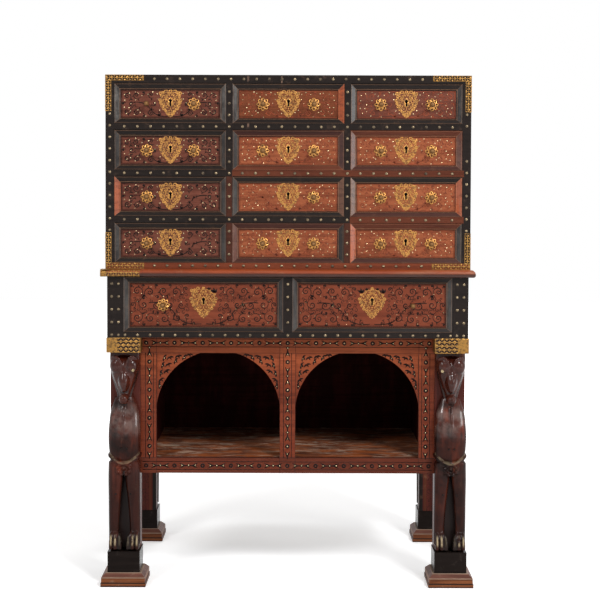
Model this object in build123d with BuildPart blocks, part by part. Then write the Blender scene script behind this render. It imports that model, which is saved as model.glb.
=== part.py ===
from build123d import *
import os
from math import sqrt

# A cabinet of twelve drawers on a stand with two drawers, an arcaded compartment and four
# legs, each a post with a carved guardian beast. Millimetres. +Z is up, the front faces -Y,
# and the origin is on the floor under the middle of the stand.

os.makedirs("parts", exist_ok=True)

# ---------------------------------------------------------------- driving dimensions
# Feet: a square base under each leg
foot_w = 117.0
foot_step_h = 10.0        # lower step of the base
foot_step_in = 1.5        # the upper step stands in by this
foot_fascia_h = 24.0      # height of both steps together
foot_slope_h = 10.5       # sloped moulding above the steps
foot_rim = 4.0            # the top of the slope stands out from the plinth by this

# Legs
plinth_w = 84.0           # ebony block, and the cap inside the collar
plinth_h = 54.5
post_w = 78.0
post_t = 40.0             # inner half of the leg; the beast takes the outer half
leg_carved_h = 521.0      # from the plinth to the collar
collar_h = 39.0
collar_t = 2.0
collar_gap = 0.3          # from a collar to the joinery cut away round it

# Arcaded compartment between the legs
arcade_h = 363.0          # from its bottom edge to the apron
arcade_setback = 50.0     # behind the faces of the plinths
arcade_t = 14.0
arcade_stile_w = 42.0
arcade_mid_w = 41.0
arcade_top_rail_h = 45.3
arcade_low_rail_h = 40.7
arch_drop = 157.1         # from the top rail's lower edge down to the arch's centre
arch_overlap = 1.0        # the arch is this much wider than the opening, each side
spandrel_in = 4.0         # the spandrel boards lie this far behind the stiles
case_side_t = 22.0
case_floor_t = 14.0
case_ceiling_t = 12.0
case_back_t = 14.0
case_back_in = 7.5        # the back board stops short of the legs' inner faces

# Apron: the case of the two stand drawers
apron_h = 159.0
apron_board_t = 20.0
apron_stile_w = 41.0
apron_mid_w = 21.0
apron_rail_h = 14.5
dust_board_t = 12.0
guide_h = 20.0

# Stand top: a board with a thumbnail nose all round, cut to the cabinet it carries
stand_top_t = 20.0
top_side_margin = 12.0    # beyond the cabinet's sides
top_front_margin = 22.0   # beyond its front
top_rear_margin = 26.0    # beyond its back
nose_out = 16.5           # beyond the apron
nose_upper_r = 12.0
nose_lower_r = 6.0

# Cabinet
cabinet_w = 946.0
cabinet_d = 540.0
cabinet_h = 502.0
cabinet_side_t = 22.0
cabinet_top_t = 21.0
cabinet_base_t = 16.0
upright_t = 15.0
shelf_t = 16.0
cabinet_back_t = 12.0
back_rebate = 8.0
facing_t = 3.0

# Drawers
side_gap = 0.7            # running clearances round a closed drawer
base_gap = 0.3
top_gap = 1.0
back_gap = 6.0
crest_in = 1.0            # the frame's crest lies this far behind the front plane
frame_rise = 7.0          # the mitred frame stands this far above the panel
frame_side_w = 15.6
frame_top_w = 16.0
frame_low_w = 13.0
crest_share = 0.13        # flat crest, as a share of the strip's width
lip_share = 0.84          # where the inner lip begins
lip_rise = 2.6
slope_foot_rise = 1.6
front_t = 14.0
drawer_side_t = 8.0
drawer_back_t = 8.0
drawer_base_t = 6.0
base_lift = 3.0           # the bottom is let in above the sides' lower edges
side_drop = 3.0           # sides and back are lower than the front

# Locks
lock_w = 56.0
lock_h = 62.0
lock_wall = 2.2
bolt_w = 16.0
bolt_t = 4.0
bolt_h = 40.0
bolt_gap = 0.3
bolt_sink = 0.3           # below the drawer front's top edge when drawn back
bolt_throw = 6.5
mortise_gap = 0.5
key_rise = 8.5            # keyhole above the middle of the panel
stand_key_rise = 15.0
key_r = 2.75
key_slot_w = 3.2
key_slot_drop = 9.0

# Drawer mounts
plate_t = 1.2
shield_w = 62.0
shield_h = 72.0
shield_rise = 0.7         # the key plate's middle above the panel's middle
stand_shield_w = 75.0
stand_shield_h = 83.0
stand_shield_rise = 6.3
rosette_r = 17.0
rosette_lobes = 8
knob_reach = 24.0         # from the panel to the tip
knob_r = 7.5
stem_r = 3.0
boss_r = 5.5
boss_t = 2.5
shank_r = 2.0
shank_gap = 0.05
rivet_r = 4.5
rivet_t = 1.5
knob_out_left = 61.0      # from the keyhole, on the left column of drawers
knob_out = 66.0           # on the other two columns
stand_knob_out = 105.0

# Nails
nail_r = 4.0
nail_h = 2.5
top_nail_pitch = 33.0
top_nails = 22
side_nails = 11
stile_nail_gap = 17.4     # between the two files of nails on a stand stile
stile_nail_pitch = 33.3
stile_nail_rows = 5
rail_nail_pitch = 32.5

# Corner mounts
mount_arm = 100.0         # along the top or the foot of the cabinet
mount_upright = 94.0      # along its edges
mount_arm_w = 15.0
mount_side_arm = 60.0
nose_mount_len = 110.0
nose_mount_side = 100.0
nose_mount_gap = 1.5      # from the nose mount to the cabinet's foot

# Side handles
handle_drop = 52.0        # from the hinge axis to the middle of the grip
handle_span = 124.0       # between the middles of the arms
handle_rod_r = 3.0
handle_bend_r = 12.0
handle_out = 7.2          # hinge axis from the cabinet's side
handle_lift = 40.0        # hinge axis above the cabinet's mid height
eye_span = 100.0
eye_t = 8.0
eye_r = 4.8
eye_gap = 0.05
eye_plate_r = 15.0
eye_plate_t = 1.5

# ---------------------------------------------------------------- levels and planes
foot_top = foot_fascia_h + foot_slope_h
plinth_top = foot_top + plinth_h
carved_top = plinth_top + leg_carved_h
leg_top = carved_top + collar_h
apron_top = leg_top + apron_h
cabinet_low = apron_top + stand_top_t
cabinet_high = cabinet_low + cabinet_h

cabinet_x = cabinet_w / 2
nose_x = cabinet_x + top_side_margin
nose_y = (cabinet_d + top_front_margin + top_rear_margin) / 2
apron_x = nose_x - nose_out
apron_y = nose_y - nose_out
leg_x = apron_x - plinth_w / 2
leg_y = apron_y - plinth_w / 2
post_in_x = leg_x - post_w / 2            # inner face of the posts
post_in_y = leg_y - plinth_w / 2
post_out_y = post_in_y + post_t           # where posts end and beasts begin
collar_in_x = leg_x - plinth_w / 2 - collar_t - collar_gap
collar_in_y = leg_y - plinth_w / 2 - collar_t - collar_gap

cabinet_front = top_front_margin - nose_y
cabinet_rear = cabinet_front + cabinet_d
carcase_front = cabinet_front + facing_t
cabinet_back_face = cabinet_rear - cabinet_back_t
inside_x = cabinet_x - cabinet_side_t
inside_low = cabinet_low + cabinet_base_t
inside_high = cabinet_high - cabinet_top_t
columns = ("left", "middle", "right")
rows = ("1", "2", "3", "4")
bay_w = (2 * inside_x - (len(columns) - 1) * upright_t) / len(columns)
bay_h = (inside_high - inside_low - (len(rows) - 1) * shelf_t) / len(rows)
bay_pitch = bay_w + upright_t
row_pitch = bay_h + shelf_t
bay_x = {name: (i - (len(columns) - 1) / 2) * bay_pitch for i, name in enumerate(columns)}
bay_low = {name: inside_high - bay_h - i * row_pitch for i, name in enumerate(rows)}

stand_bay_w = apron_x - apron_stile_w - apron_mid_w / 2
stand_bay_h = apron_h - apron_rail_h
stand_bay_low = leg_top + apron_rail_h
stand_bay_x = {"left": -(apron_mid_w + stand_bay_w) / 2, "right": (apron_mid_w + stand_bay_w) / 2}

lock_t = bolt_t + 2 * bolt_gap + 2 * lock_wall
bolt_y = front_t + lock_wall + bolt_gap + bolt_t / 2      # behind the panel's face
mortise_h = bolt_throw - bolt_sink - top_gap + mortise_gap
crest_y = crest_in + frame_rise                           # panel's face behind the front plane
panel_z = (frame_low_w - frame_top_w) / 2                 # the panel's middle from the front's middle


# ---------------------------------------------------------------- helpers
def board(x, y, z, mode=Mode.ADD):
    """In a BuildPart: a square-edged board between (low, high) pairs along X, Y and Z."""
    with BuildSketch(Plane.XY.offset(z[0])) as outline:
        with Locations(((x[0] + x[1]) / 2, (y[0] + y[1]) / 2)):
            Rectangle(x[1] - x[0], y[1] - y[0])
    extrude(outline.sketch, amount=z[1] - z[0], mode=mode)


def plain_board(x, y, z):
    """A board of its own, with no cuts."""
    with BuildPart() as piece:
        board(x, y, z)
    return piece.part


def mortise(x, panel_y, low):
    """In a BuildPart: the pocket that a lock's bolt rises into, in the face at height low."""
    half_x = bolt_w / 2 + mortise_gap
    half_y = bolt_t / 2 + mortise_gap
    y = panel_y + bolt_y
    board((x - half_x, x + half_x), (y - half_y, y + half_y), (low, low + mortise_h), Mode.SUBTRACT)


def write(name, *pieces):
    """Write the pieces of one node to its STEP file, each as a solid of its own."""
    if len(pieces) == 1:
        node = pieces[0]
        node.label = name
    else:
        for number, piece in enumerate(pieces, 1):
            piece.label = f"{name}_{number}"
        node = Compound(label=name, children=list(pieces))
    export_step(node, f"parts/{name}.step")


def at_each_leg(piece):
    """Copies of a leg's piece at the four legs; it is made facing -Y about the leg's axis."""
    fronts = [Pos(side * leg_x, -leg_y, 0) * piece for side in (-1, 1)]
    rears = [Pos(side * leg_x, leg_y, 0) * Rot(0, 0, 180) * piece for side in (-1, 1)]
    return fronts + rears


# ---------------------------------------------------------------- feet, plinths and posts
with BuildPart() as foot:
    with BuildSketch():
        Rectangle(foot_w, foot_w)
    extrude(amount=foot_step_h)
    with BuildSketch(Plane.XY.offset(foot_step_h)):
        Rectangle(foot_w - 2 * foot_step_in, foot_w - 2 * foot_step_in)
    extrude(amount=foot_fascia_h - foot_step_h)
    with BuildSketch(Plane.XY.offset(foot_fascia_h)):
        Rectangle(foot_w - 2 * foot_step_in, foot_w - 2 * foot_step_in)
    with BuildSketch(Plane.XY.offset(foot_top)):
        Rectangle(plinth_w + 2 * foot_rim, plinth_w + 2 * foot_rim)
    loft()
write("leg_feet", *at_each_leg(foot.part))

with BuildPart() as plinth:
    with BuildSketch(Plane.XY.offset(foot_top)):
        Rectangle(plinth_w, plinth_w)
    extrude(amount=plinth_h)
write("leg_plinths", *at_each_leg(plinth.part))

with BuildPart() as post:
    back = plinth_w / 2
    board((-post_w / 2, post_w / 2), (back - post_t, back), (plinth_top, carved_top))
    with BuildSketch(Plane.XY.offset(carved_top)):
        Rectangle(plinth_w, plinth_w)
    extrude(amount=collar_h)
write("leg_posts", *at_each_leg(post.part))

with BuildPart() as collar:
    with BuildSketch(Plane.XY.offset(carved_top)):
        Rectangle(plinth_w + 2 * collar_t, plinth_w + 2 * collar_t)
        Rectangle(plinth_w, plinth_w, mode=Mode.SUBTRACT)
    extrude(amount=collar_h)
write("leg_collars", *at_each_leg(collar.part))

# ---------------------------------------------------------------- guardian beasts
# A seated beast fills the outer half of each leg. Its heights are shares of the carved
# height, its widths of the post's width and its depths of the room in front of the post.
beast_back = plinth_w / 2 - post_t        # local Y of the post's face
beast_room = plinth_w - post_t

paw_top = 0.095
thigh_top = 0.47
belt_low, belt_high = 0.462, 0.505
torso = ((0.455, 0.98, 0.84), (0.58, 1.06, 1.00), (0.655, 0.92, 0.91), (0.705, 0.74, 0.80))
head = ((0.695, 0.56, 0.86), (0.79, 0.78, 0.95), (0.90, 1.00, 0.95), (1.00, 1.00, 0.84))
muzzle = ((0.715, 0.40, 1.02), (0.77, 0.50, 1.18), (0.86, 0.58, 1.06))
belt = ((belt_low, 1.02, 0.90), (belt_high, 1.04, 0.96))
thigh_w, thigh_x, thigh_d = 0.43, 0.27, 0.84
leg_low_w, leg_low_x, leg_low_d = 0.36, 0.30, 0.60
paw_w, paw_x, paw_d = 0.47, 0.265, 0.98
knot_z, knot_r, knot_out = 0.452, 0.16, 1.03
corner_share = 0.3


def beast_form(*sections):
    """In a BuildPart: a form through level sections that all have their backs on the post's face.

    Each section is (height, width, depth, and its middle's place along X).
    """
    outlines = []
    for height, width, depth, x in sections:
        w = width * post_w
        d = depth * beast_room
        with BuildSketch(Plane.XY.offset(plinth_top + height * leg_carved_h)) as outline:
            with Locations((x * post_w, beast_back - d / 2)):
                Rectangle(w, d)
            chamfer(outline.vertices().group_by(Axis.Y)[0], corner_share * min(w, d))
        outlines.append(outline.sketch)
    loft(outlines, ruled=True)


with BuildPart() as beast:
    for form in (torso, head, muzzle, belt):
        beast_form(*[(height, width, depth, 0) for height, width, depth in form])
    for side in (-1, 1):
        beast_form(
            (paw_top / 2, leg_low_w, leg_low_d, side * leg_low_x), (thigh_top, thigh_w, thigh_d, side * thigh_x)
        )
        beast_form((0, paw_w, paw_d, side * paw_x), (paw_top, leg_low_w, thigh_d, side * leg_low_x))
    with BuildSketch(Plane.XZ.offset(-beast_back)):
        with Locations((0, plinth_top + knot_z * leg_carved_h)):
            Circle(knot_r * post_w)
    extrude(amount=knot_out * beast_room)
write("guardian_beasts", *at_each_leg(beast.part))

# ---------------------------------------------------------------- arcade
arcade_front = -apron_y + arcade_setback
arcade_y = (arcade_front, arcade_front + arcade_t)
arcade_low = leg_top - arcade_h
arcade_z = (arcade_low, leg_top)
opening_z = (arcade_low + arcade_low_rail_h, leg_top - arcade_top_rail_h)
opening_w = post_in_x - arcade_stile_w - arcade_mid_w / 2
arch_x = (arcade_mid_w + opening_w) / 2
arch_z = opening_z[1] - arch_drop
arch_r = opening_w / 2 + arch_overlap

arcade_pieces = [
    plain_board((-post_in_x + arcade_stile_w, post_in_x - arcade_stile_w), arcade_y, (arcade_low, opening_z[0])),
    plain_board((-post_in_x + arcade_stile_w, post_in_x - arcade_stile_w), arcade_y, (opening_z[1], leg_top)),
    plain_board((-arcade_mid_w / 2, arcade_mid_w / 2), arcade_y, opening_z),
]
with BuildPart() as arcade_stile:
    board((post_in_x - arcade_stile_w, post_in_x), arcade_y, arcade_z)
    board((collar_in_x, post_in_x), arcade_y, (carved_top - collar_gap, leg_top), Mode.SUBTRACT)
arcade_pieces += [arcade_stile.part, mirror(arcade_stile.part, Plane.YZ)]

with BuildPart() as spandrel:
    with BuildSketch(Plane.XZ.offset(-arcade_y[1])):
        with Locations((arch_x - opening_w / 4, (arch_z + opening_z[1]) / 2)):
            Rectangle(opening_w / 2, arch_drop)
        with Locations((arch_x, arch_z)):
            Circle(arch_r, mode=Mode.SUBTRACT)
    extrude(amount=arcade_t - spandrel_in)
outer_spandrel = mirror(spandrel.part, Plane.YZ.offset(arch_x))
arcade_pieces += [spandrel.part, outer_spandrel]
arcade_pieces += [mirror(piece, Plane.YZ) for piece in (spandrel.part, outer_spandrel)]
write("compartment_arcade", *arcade_pieces)

# ---------------------------------------------------------------- compartment case
case_y = (arcade_y[1], post_out_y)
case_in_x = post_in_x - case_side_t
floor_z = (opening_z[0] - case_floor_t, opening_z[0])
with BuildPart() as case_side:
    board((case_in_x, post_in_x), case_y, arcade_z)
    for y in ((case_y[0], -collar_in_y), (collar_in_y, case_y[1])):
        board((collar_in_x, post_in_x), y, (carved_top - collar_gap, leg_top), Mode.SUBTRACT)
write(
    "compartment_case",
    case_side.part,
    mirror(case_side.part, Plane.YZ),
    plain_board((-case_in_x, case_in_x), case_y, floor_z),
    plain_board((-case_in_x, case_in_x), case_y, (leg_top - case_ceiling_t, leg_top)),
    plain_board(
        (-post_in_x + case_back_in, post_in_x - case_back_in), (case_y[1], case_y[1] + case_back_t), arcade_z
    ),
)

# ---------------------------------------------------------------- apron
apron_in_x = apron_x - apron_board_t
apron_in_y = apron_y - apron_board_t
guide_x = (apron_x - apron_stile_w, apron_in_x)
apron_inner_y = (-apron_in_y, apron_in_y)
apron_face_y = (-apron_y, -apron_in_y)
apron_z = (leg_top, apron_top)
apron_pieces = [
    plain_board((-apron_x, apron_x), (apron_in_y, apron_y), apron_z),
    plain_board(
        (-apron_x + apron_stile_w, apron_x - apron_stile_w), apron_face_y, (leg_top, stand_bay_low)
    ),
    plain_board((-apron_mid_w / 2, apron_mid_w / 2), apron_face_y, (stand_bay_low, apron_top)),
    plain_board((-apron_mid_w / 2, apron_mid_w / 2), apron_inner_y, (stand_bay_low, apron_top)),
    plain_board((-apron_in_x, apron_in_x), apron_inner_y, (stand_bay_low - dust_board_t, stand_bay_low)),
]
for x, y, z in (
    ((apron_x - apron_stile_w, apron_x), apron_face_y, apron_z),
    ((apron_in_x, apron_x), apron_inner_y, apron_z),
    (guide_x, apron_inner_y, (stand_bay_low, stand_bay_low + guide_h)),
):
    piece = plain_board(x, y, z)
    apron_pieces += [piece, mirror(piece, Plane.YZ)]
write("stand_apron", *apron_pieces)


# ---------------------------------------------------------------- stand top and its one mount
def nose_blank(inset):
    """The stand top with its thumbnail nose, pared down by inset all over."""
    with BuildPart() as blank:
        x = nose_x - inset
        y = nose_y - inset
        board((-x, x), (-y, y), (apron_top + inset, cabinet_low - inset))
        fillet(blank.faces().sort_by(Axis.Z)[-1].edges(), nose_upper_r - inset)
        fillet(blank.faces().sort_by(Axis.Z)[0].edges(), nose_lower_r - inset)
    return blank.part


with BuildPart() as nose_mount:
    add(nose_blank(0))
    add(nose_blank(plate_t), mode=Mode.SUBTRACT)
    board(
        (-nose_x, -nose_x + nose_mount_len),
        (-nose_y, -nose_y + nose_mount_side),
        (apron_top, cabinet_low),
        Mode.INTERSECT,
    )
    board(
        (-cabinet_x - nose_mount_gap, nose_x),
        (cabinet_front - nose_mount_gap, nose_y),
        (apron_top, cabinet_low),
        Mode.SUBTRACT,
    )

with BuildPart() as stand_top:
    add(nose_blank(0))
    add(nose_mount.part, mode=Mode.SUBTRACT)
    for x in stand_bay_x.values():
        mortise(x, -apron_y + crest_y, apron_top)
write("stand_top", stand_top.part)

# ---------------------------------------------------------------- cabinet carcase
rebate_x = inside_x + back_rebate
rebate_z = (inside_low - back_rebate, inside_high + back_rebate)
carcase_y = (carcase_front, cabinet_rear)
back_y = (cabinet_back_face, cabinet_rear)

with BuildPart() as cabinet_lid:
    board((-cabinet_x, cabinet_x), carcase_y, (inside_high, cabinet_high))
    board((-rebate_x, rebate_x), back_y, (inside_high, rebate_z[1]), Mode.SUBTRACT)
    for x in bay_x.values():
        mortise(x, cabinet_front + crest_y, inside_high)

with BuildPart() as cabinet_base:
    board((-cabinet_x, cabinet_x), carcase_y, (cabinet_low, inside_low))
    board((-rebate_x, rebate_x), back_y, (rebate_z[0], inside_low), Mode.SUBTRACT)

with BuildPart() as cabinet_side:
    board((inside_x, cabinet_x), carcase_y, (inside_low, inside_high))
    board((inside_x, rebate_x), back_y, (inside_low, inside_high), Mode.SUBTRACT)

write(
    "cabinet_carcase",
    cabinet_lid.part,
    cabinet_base.part,
    cabinet_side.part,
    mirror(cabinet_side.part, Plane.YZ),
)
write("cabinet_back", plain_board((-rebate_x, rebate_x), back_y, rebate_z))

# ---------------------------------------------------------------- uprights and shelves
partition_y = (carcase_front, cabinet_back_face)
upright_x = [(bay_x[a] + bay_x[b]) / 2 for a, b in zip(columns, columns[1:])]
partitions = [
    plain_board((x - upright_t / 2, x + upright_t / 2), partition_y, (inside_low, inside_high))
    for x in upright_x
]
for row in rows[:-1]:
    for x in bay_x.values():
        shelf_z = (bay_low[row] - shelf_t, bay_low[row])
        with BuildPart() as shelf:
            board((x - bay_w / 2, x + bay_w / 2), partition_y, shelf_z)
            mortise(x, cabinet_front + crest_y, shelf_z[0])
        partitions.append(shelf.part)
write("cabinet_partitions", *partitions)

# ---------------------------------------------------------------- ebony facings
facing_y = (cabinet_front, carcase_front)
facings = [
    plain_board((-inside_x, inside_x), facing_y, (inside_high, cabinet_high)),
    plain_board((-inside_x, inside_x), facing_y, (cabinet_low, inside_low)),
]
for x in ((inside_x, cabinet_x), (-cabinet_x, -inside_x)):
    facings.append(plain_board(x, facing_y, (cabinet_low, cabinet_high)))
for x in upright_x:
    facings.append(plain_board((x - upright_t / 2, x + upright_t / 2), facing_y, (inside_low, inside_high)))
for row in rows[:-1]:
    for x in bay_x.values():
        facings.append(
            plain_board((x - bay_w / 2, x + bay_w / 2), facing_y, (bay_low[row] - shelf_t, bay_low[row]))
        )
write("cabinet_facings", *facings)

# ---------------------------------------------------------------- nails
cabinet_mid = (cabinet_low + cabinet_high) / 2
row_mid = {row: bay_low[row] + bay_h / 2 for row in rows}
nail_step = row_pitch / 4                 # three nails beside each drawer, one at each shelf
rail_step = bay_pitch / 9                 # eight nails along each shelf between the uprights
lost_side_nails = (2, 3)                  # steps above mid height, on the right side only

cabinet_nails = []
for z in (cabinet_low + cabinet_base_t / 2, cabinet_high - cabinet_top_t / 2):
    for i in range(top_nails):
        cabinet_nails.append(((i - (top_nails - 1) / 2) * top_nail_pitch, z))
for side in (-1, 1):
    for i in range(side_nails):
        step = i - side_nails // 2
        if side == 1 and step in lost_side_nails:
            continue
        cabinet_nails.append((side * (cabinet_x - cabinet_side_t / 2), cabinet_mid + step * nail_step))
for x in upright_x:
    for row in rows:
        cabinet_nails += [(x, row_mid[row] + step * nail_step) for step in (-1, 0, 1)]
    cabinet_nails += [(x, bay_low[row] - shelf_t / 2) for row in rows[:-1]]
for row in rows[:-1]:
    for x in bay_x.values():
        cabinet_nails += [(x + (i - 3.5) * rail_step, bay_low[row] - shelf_t / 2) for i in range(8)]

stand_nails = []
stile_mid_x = apron_x - apron_stile_w / 2
for i in range(stile_nail_rows):
    z = leg_top + apron_rail_h / 2 + i * stile_nail_pitch
    stand_nails.append((0, z))
    for side in (-1, 1):
        stand_nails += [(side * (stile_mid_x + half * stile_nail_gap / 2), z) for half in (-1, 1)]
rail_half = int((apron_x - apron_stile_w - nail_r) / rail_nail_pitch)
for i in range(1, rail_half + 1):
    stand_nails += [(side * i * rail_nail_pitch, leg_top + apron_rail_h / 2) for side in (-1, 1)]

with BuildPart() as nail:
    with BuildSketch(Plane.XY):
        with BuildLine():
            dome_r = (nail_r**2 + nail_h**2) / (2 * nail_h)
            Line((0, 0), (nail_r, 0))
            RadiusArc((nail_r, 0), (0, -nail_h), dome_r)
            Line((0, -nail_h), (0, 0))
        make_face()
    revolve(axis=Axis.Y)
nails = [Pos(x, cabinet_front, z) * nail.part for x, z in cabinet_nails]
nails += [Pos(x, -apron_y, z) * nail.part for x, z in stand_nails]
write("nail_heads", *nails)

# ---------------------------------------------------------------- corner mounts
with BuildPart() as corner_mount:
    front_y = (cabinet_front - plate_t, cabinet_front)
    side_x = (cabinet_x, cabinet_x + plate_t)
    board((cabinet_x - mount_arm, cabinet_x), front_y, (cabinet_high - mount_arm_w, cabinet_high))
    board((cabinet_x - mount_arm_w, cabinet_x), front_y, (cabinet_high - mount_upright, cabinet_high))
    wrap_y = (cabinet_front - plate_t, cabinet_front + mount_arm_w)
    board(side_x, wrap_y, (cabinet_high - mount_upright, cabinet_high))
    wrap_y = (cabinet_front - plate_t, cabinet_front + mount_side_arm)
    board(side_x, wrap_y, (cabinet_high - mount_arm_w, cabinet_high))
upper_mounts = [corner_mount.part, mirror(corner_mount.part, Plane.YZ)]
lower_mounts = [mirror(piece, Plane.XY.offset(cabinet_mid)) for piece in upper_mounts]
write("corner_mounts", *upper_mounts, *lower_mounts, nose_mount.part)

# ---------------------------------------------------------------- side handles
handle_z = cabinet_mid + handle_lift
axis_x = cabinet_x + handle_out

with BuildPart() as eye:
    with BuildSketch(Plane.YZ.offset(cabinet_x)):
        with Locations((eye_span / 2, handle_z)):
            Circle(eye_plate_r)
    extrude(amount=eye_plate_t)
    with BuildSketch(Plane.XZ.offset(-(eye_span + eye_t) / 2)):
        with Locations((axis_x, handle_z)):
            Circle(eye_r)
        with Locations((cabinet_x + handle_out / 2, handle_z)):
            Rectangle(handle_out, 2 * eye_r)
    extrude(amount=eye_t)
    with BuildSketch(Plane.XZ.offset(-(eye_span + eye_t) / 2)):
        with Locations((axis_x, handle_z)):
            Circle(handle_rod_r + eye_gap)
    extrude(amount=eye_t, mode=Mode.SUBTRACT)
right_eyes = [eye.part, mirror(eye.part, Plane.XZ)]
write("handle_plates", *right_eyes, *[mirror(piece, Plane.YZ) for piece in right_eyes])

with BuildPart() as right_handle:
    half = handle_span / 2
    pin_y = eye_span / 2 - eye_t
    with BuildLine() as bail:
        FilletPolyline(
            (axis_x, -pin_y, handle_z),
            (axis_x, -half, handle_z),
            (axis_x, -half, handle_z - handle_drop),
            (axis_x, half, handle_z - handle_drop),
            (axis_x, half, handle_z),
            (axis_x, pin_y, handle_z),
            radius=(half - (eye_span + eye_t) / 2, handle_bend_r, handle_bend_r, half - (eye_span + eye_t) / 2),
        )
    with BuildSketch(Plane(origin=bail.line @ 0, z_dir=bail.line % 0)):
        Circle(handle_rod_r)
    sweep()
write("right_handle", right_handle.part)
write("left_handle", mirror(right_handle.part, Plane.YZ))


# ---------------------------------------------------------------- drawers
# A drawer is made about the middle of its front, with the panel's face in the XZ plane.
def keyhole(rise, front, depth):
    """In a BuildPart: cuts a keyhole through a plate whose front face is at front."""
    with BuildSketch(Plane.XZ.offset(-front - depth)) as outline:
        with Locations((0, panel_z + rise)):
            Circle(key_r)
        with Locations((0, panel_z + rise - key_slot_drop / 2)):
            Rectangle(key_slot_w, key_slot_drop)
    extrude(outline.sketch, amount=depth, mode=Mode.SUBTRACT)


def frame_strip(start, end):
    """One mitred strip of the frame. start and end are its (outer, inner) corner pairs."""
    (a, a_inner), (b, b_inner) = [[Vector(x, 0, z) for x, z in pair] for pair in (start, end)]
    back = Vector(0, 1, 0)
    run = b - a
    inward = run.normalized().cross(back)
    width = (a_inner - a).dot(inward)
    with BuildPart() as strip:
        with BuildSketch(Plane(origin=a, x_dir=inward, z_dir=run)):
            with BuildLine():
                Polyline(
                    (0, 0),
                    (0, frame_rise),
                    (crest_share * width, frame_rise),
                    (lip_share * width, slope_foot_rise),
                    (lip_share * width, lip_rise),
                    (width, lip_rise),
                    (width, 0),
                    close=True,
                )
            make_face()
        extrude(amount=run.length)
        split(bisect_by=Plane(origin=a, x_dir=a_inner - a, z_dir=back.cross(a_inner - a)), keep=Keep.TOP)
        split(bisect_by=Plane(origin=b, x_dir=b_inner - b, z_dir=(b_inner - b).cross(back)), keep=Keep.TOP)
    return strip.part


def drawer_boards(width, height, length, knob_x, key_up):
    """The wooden pieces of one drawer: front, four frame strips, two sides, back and bottom."""
    x = width / 2
    z = height / 2
    side_z = (-z, z - side_drop)
    with BuildPart() as front:
        board((-x, x), (0, front_t), (-z, z))
        keyhole(key_up, 0, front_t)
        with BuildSketch(Plane.XZ.offset(-front_t)):
            with Locations((-knob_x, panel_z), (knob_x, panel_z)):
                Circle(shank_r + shank_gap)
        extrude(amount=front_t, mode=Mode.SUBTRACT)
    outer = [(-x, -z), (x, -z), (x, z), (-x, z)]
    inner_low = frame_low_w - z
    inner_high = z - frame_top_w
    inner_x = x - frame_side_w
    inner = [(-inner_x, inner_low), (inner_x, inner_low), (inner_x, inner_high), (-inner_x, inner_high)]
    corners = list(zip(outer, inner))
    strips = [frame_strip(a, b) for a, b in zip(corners, corners[1:] + corners[:1])]
    side = plain_board((x - drawer_side_t, x), (front_t, length), side_z)
    inside = (-x + drawer_side_t, x - drawer_side_t)
    return [
        front.part,
        *strips,
        side,
        mirror(side, Plane.YZ),
        plain_board(inside, (length - drawer_back_t, length), side_z),
        plain_board(
            inside, (front_t, length - drawer_back_t), (-z + base_lift, -z + base_lift + drawer_base_t)
        ),
    ]


def shield(width, height, rise, key_up):
    """A drawer's key plate: a lobed shield, three lobes at the top and a point at the foot."""
    w = width / 2
    h = height / 2
    with BuildPart() as plate:
        with BuildSketch(Plane(origin=(0, 0, panel_z + rise), x_dir=(1, 0, 0), z_dir=(0, -1, 0))):
            with BuildLine():
                Polyline((0, -h), (-0.45 * w, -0.6 * h), (-0.8 * w, 0.1 * h), (-0.7 * w, 0.7 * h), (0, 0.8 * h))
                mirror(about=Plane.YZ)
            make_face()
            with Locations((0, h - 0.34 * w)):
                Circle(0.34 * w)
            with Locations((-0.64 * w, 0.62 * h), (0.64 * w, 0.62 * h)):
                Circle(0.36 * w)
            with Locations((-0.68 * w, 0.08 * h), (0.68 * w, 0.08 * h)):
                Circle(0.30 * w)
            with Locations((-0.38 * w, -0.52 * h), (0.38 * w, -0.52 * h)):
                Circle(0.25 * w)
        extrude(amount=plate_t)
        keyhole(key_up, -plate_t, plate_t)
    return plate.part


def rosette():
    """The lobed plate under a knob."""
    lobe_r = 0.28 * rosette_r
    with BuildPart() as plate:
        with BuildSketch(Plane.XZ):
            Circle(rosette_r - lobe_r)
            with PolarLocations(rosette_r - lobe_r, rosette_lobes):
                Circle(lobe_r)
            Circle(shank_r + shank_gap, mode=Mode.SUBTRACT)
        extrude(amount=plate_t)
    return plate.part


def knob(seat):
    """A ball knob on a stem, its shank through the front and riveted over. seat: plate below it."""
    ball_y = knob_r - knob_reach
    stem_end = ball_y + sqrt(knob_r**2 - stem_r**2)
    with BuildPart() as turned:
        with BuildSketch(Plane.XY):
            with BuildLine():
                Polyline(
                    (0, -knob_reach),
                    (0, front_t + rivet_t),
                    (rivet_r, front_t + rivet_t),
                    (rivet_r, front_t),
                    (shank_r, front_t),
                    (shank_r, -seat),
                    (boss_r, -seat),
                    (boss_r, -seat - boss_t),
                    (stem_r, -seat - boss_t),
                    (stem_r, stem_end),
                )
                ThreePointArc((stem_r, stem_end), (knob_r, ball_y), (0, -knob_reach))
            make_face()
        revolve(axis=Axis.Y)
    return turned.part


def lock_case(height, key_up):
    """The lock behind a drawer front: a box with a channel for the bolt, open at the top."""
    top = height / 2 - bolt_sink
    channel_x = bolt_w / 2 + bolt_gap
    channel_y = (front_t + lock_wall, front_t + lock_t - lock_wall)
    with BuildPart() as case:
        board((-lock_w / 2, lock_w / 2), (front_t, front_t + lock_t), (top - lock_h, top))
        board((-channel_x, channel_x), channel_y, (top - lock_h + lock_wall, top), Mode.SUBTRACT)
        keyhole(key_up, front_t, lock_wall)
    return case.part


def bolt(height):
    """The bolt of a drawer's lock, drawn back."""
    top = height / 2 - bolt_sink
    y = (bolt_y - bolt_t / 2, bolt_y + bolt_t / 2)
    return plain_board((-bolt_w / 2, bolt_w / 2), y, (top - bolt_h, top))


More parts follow.
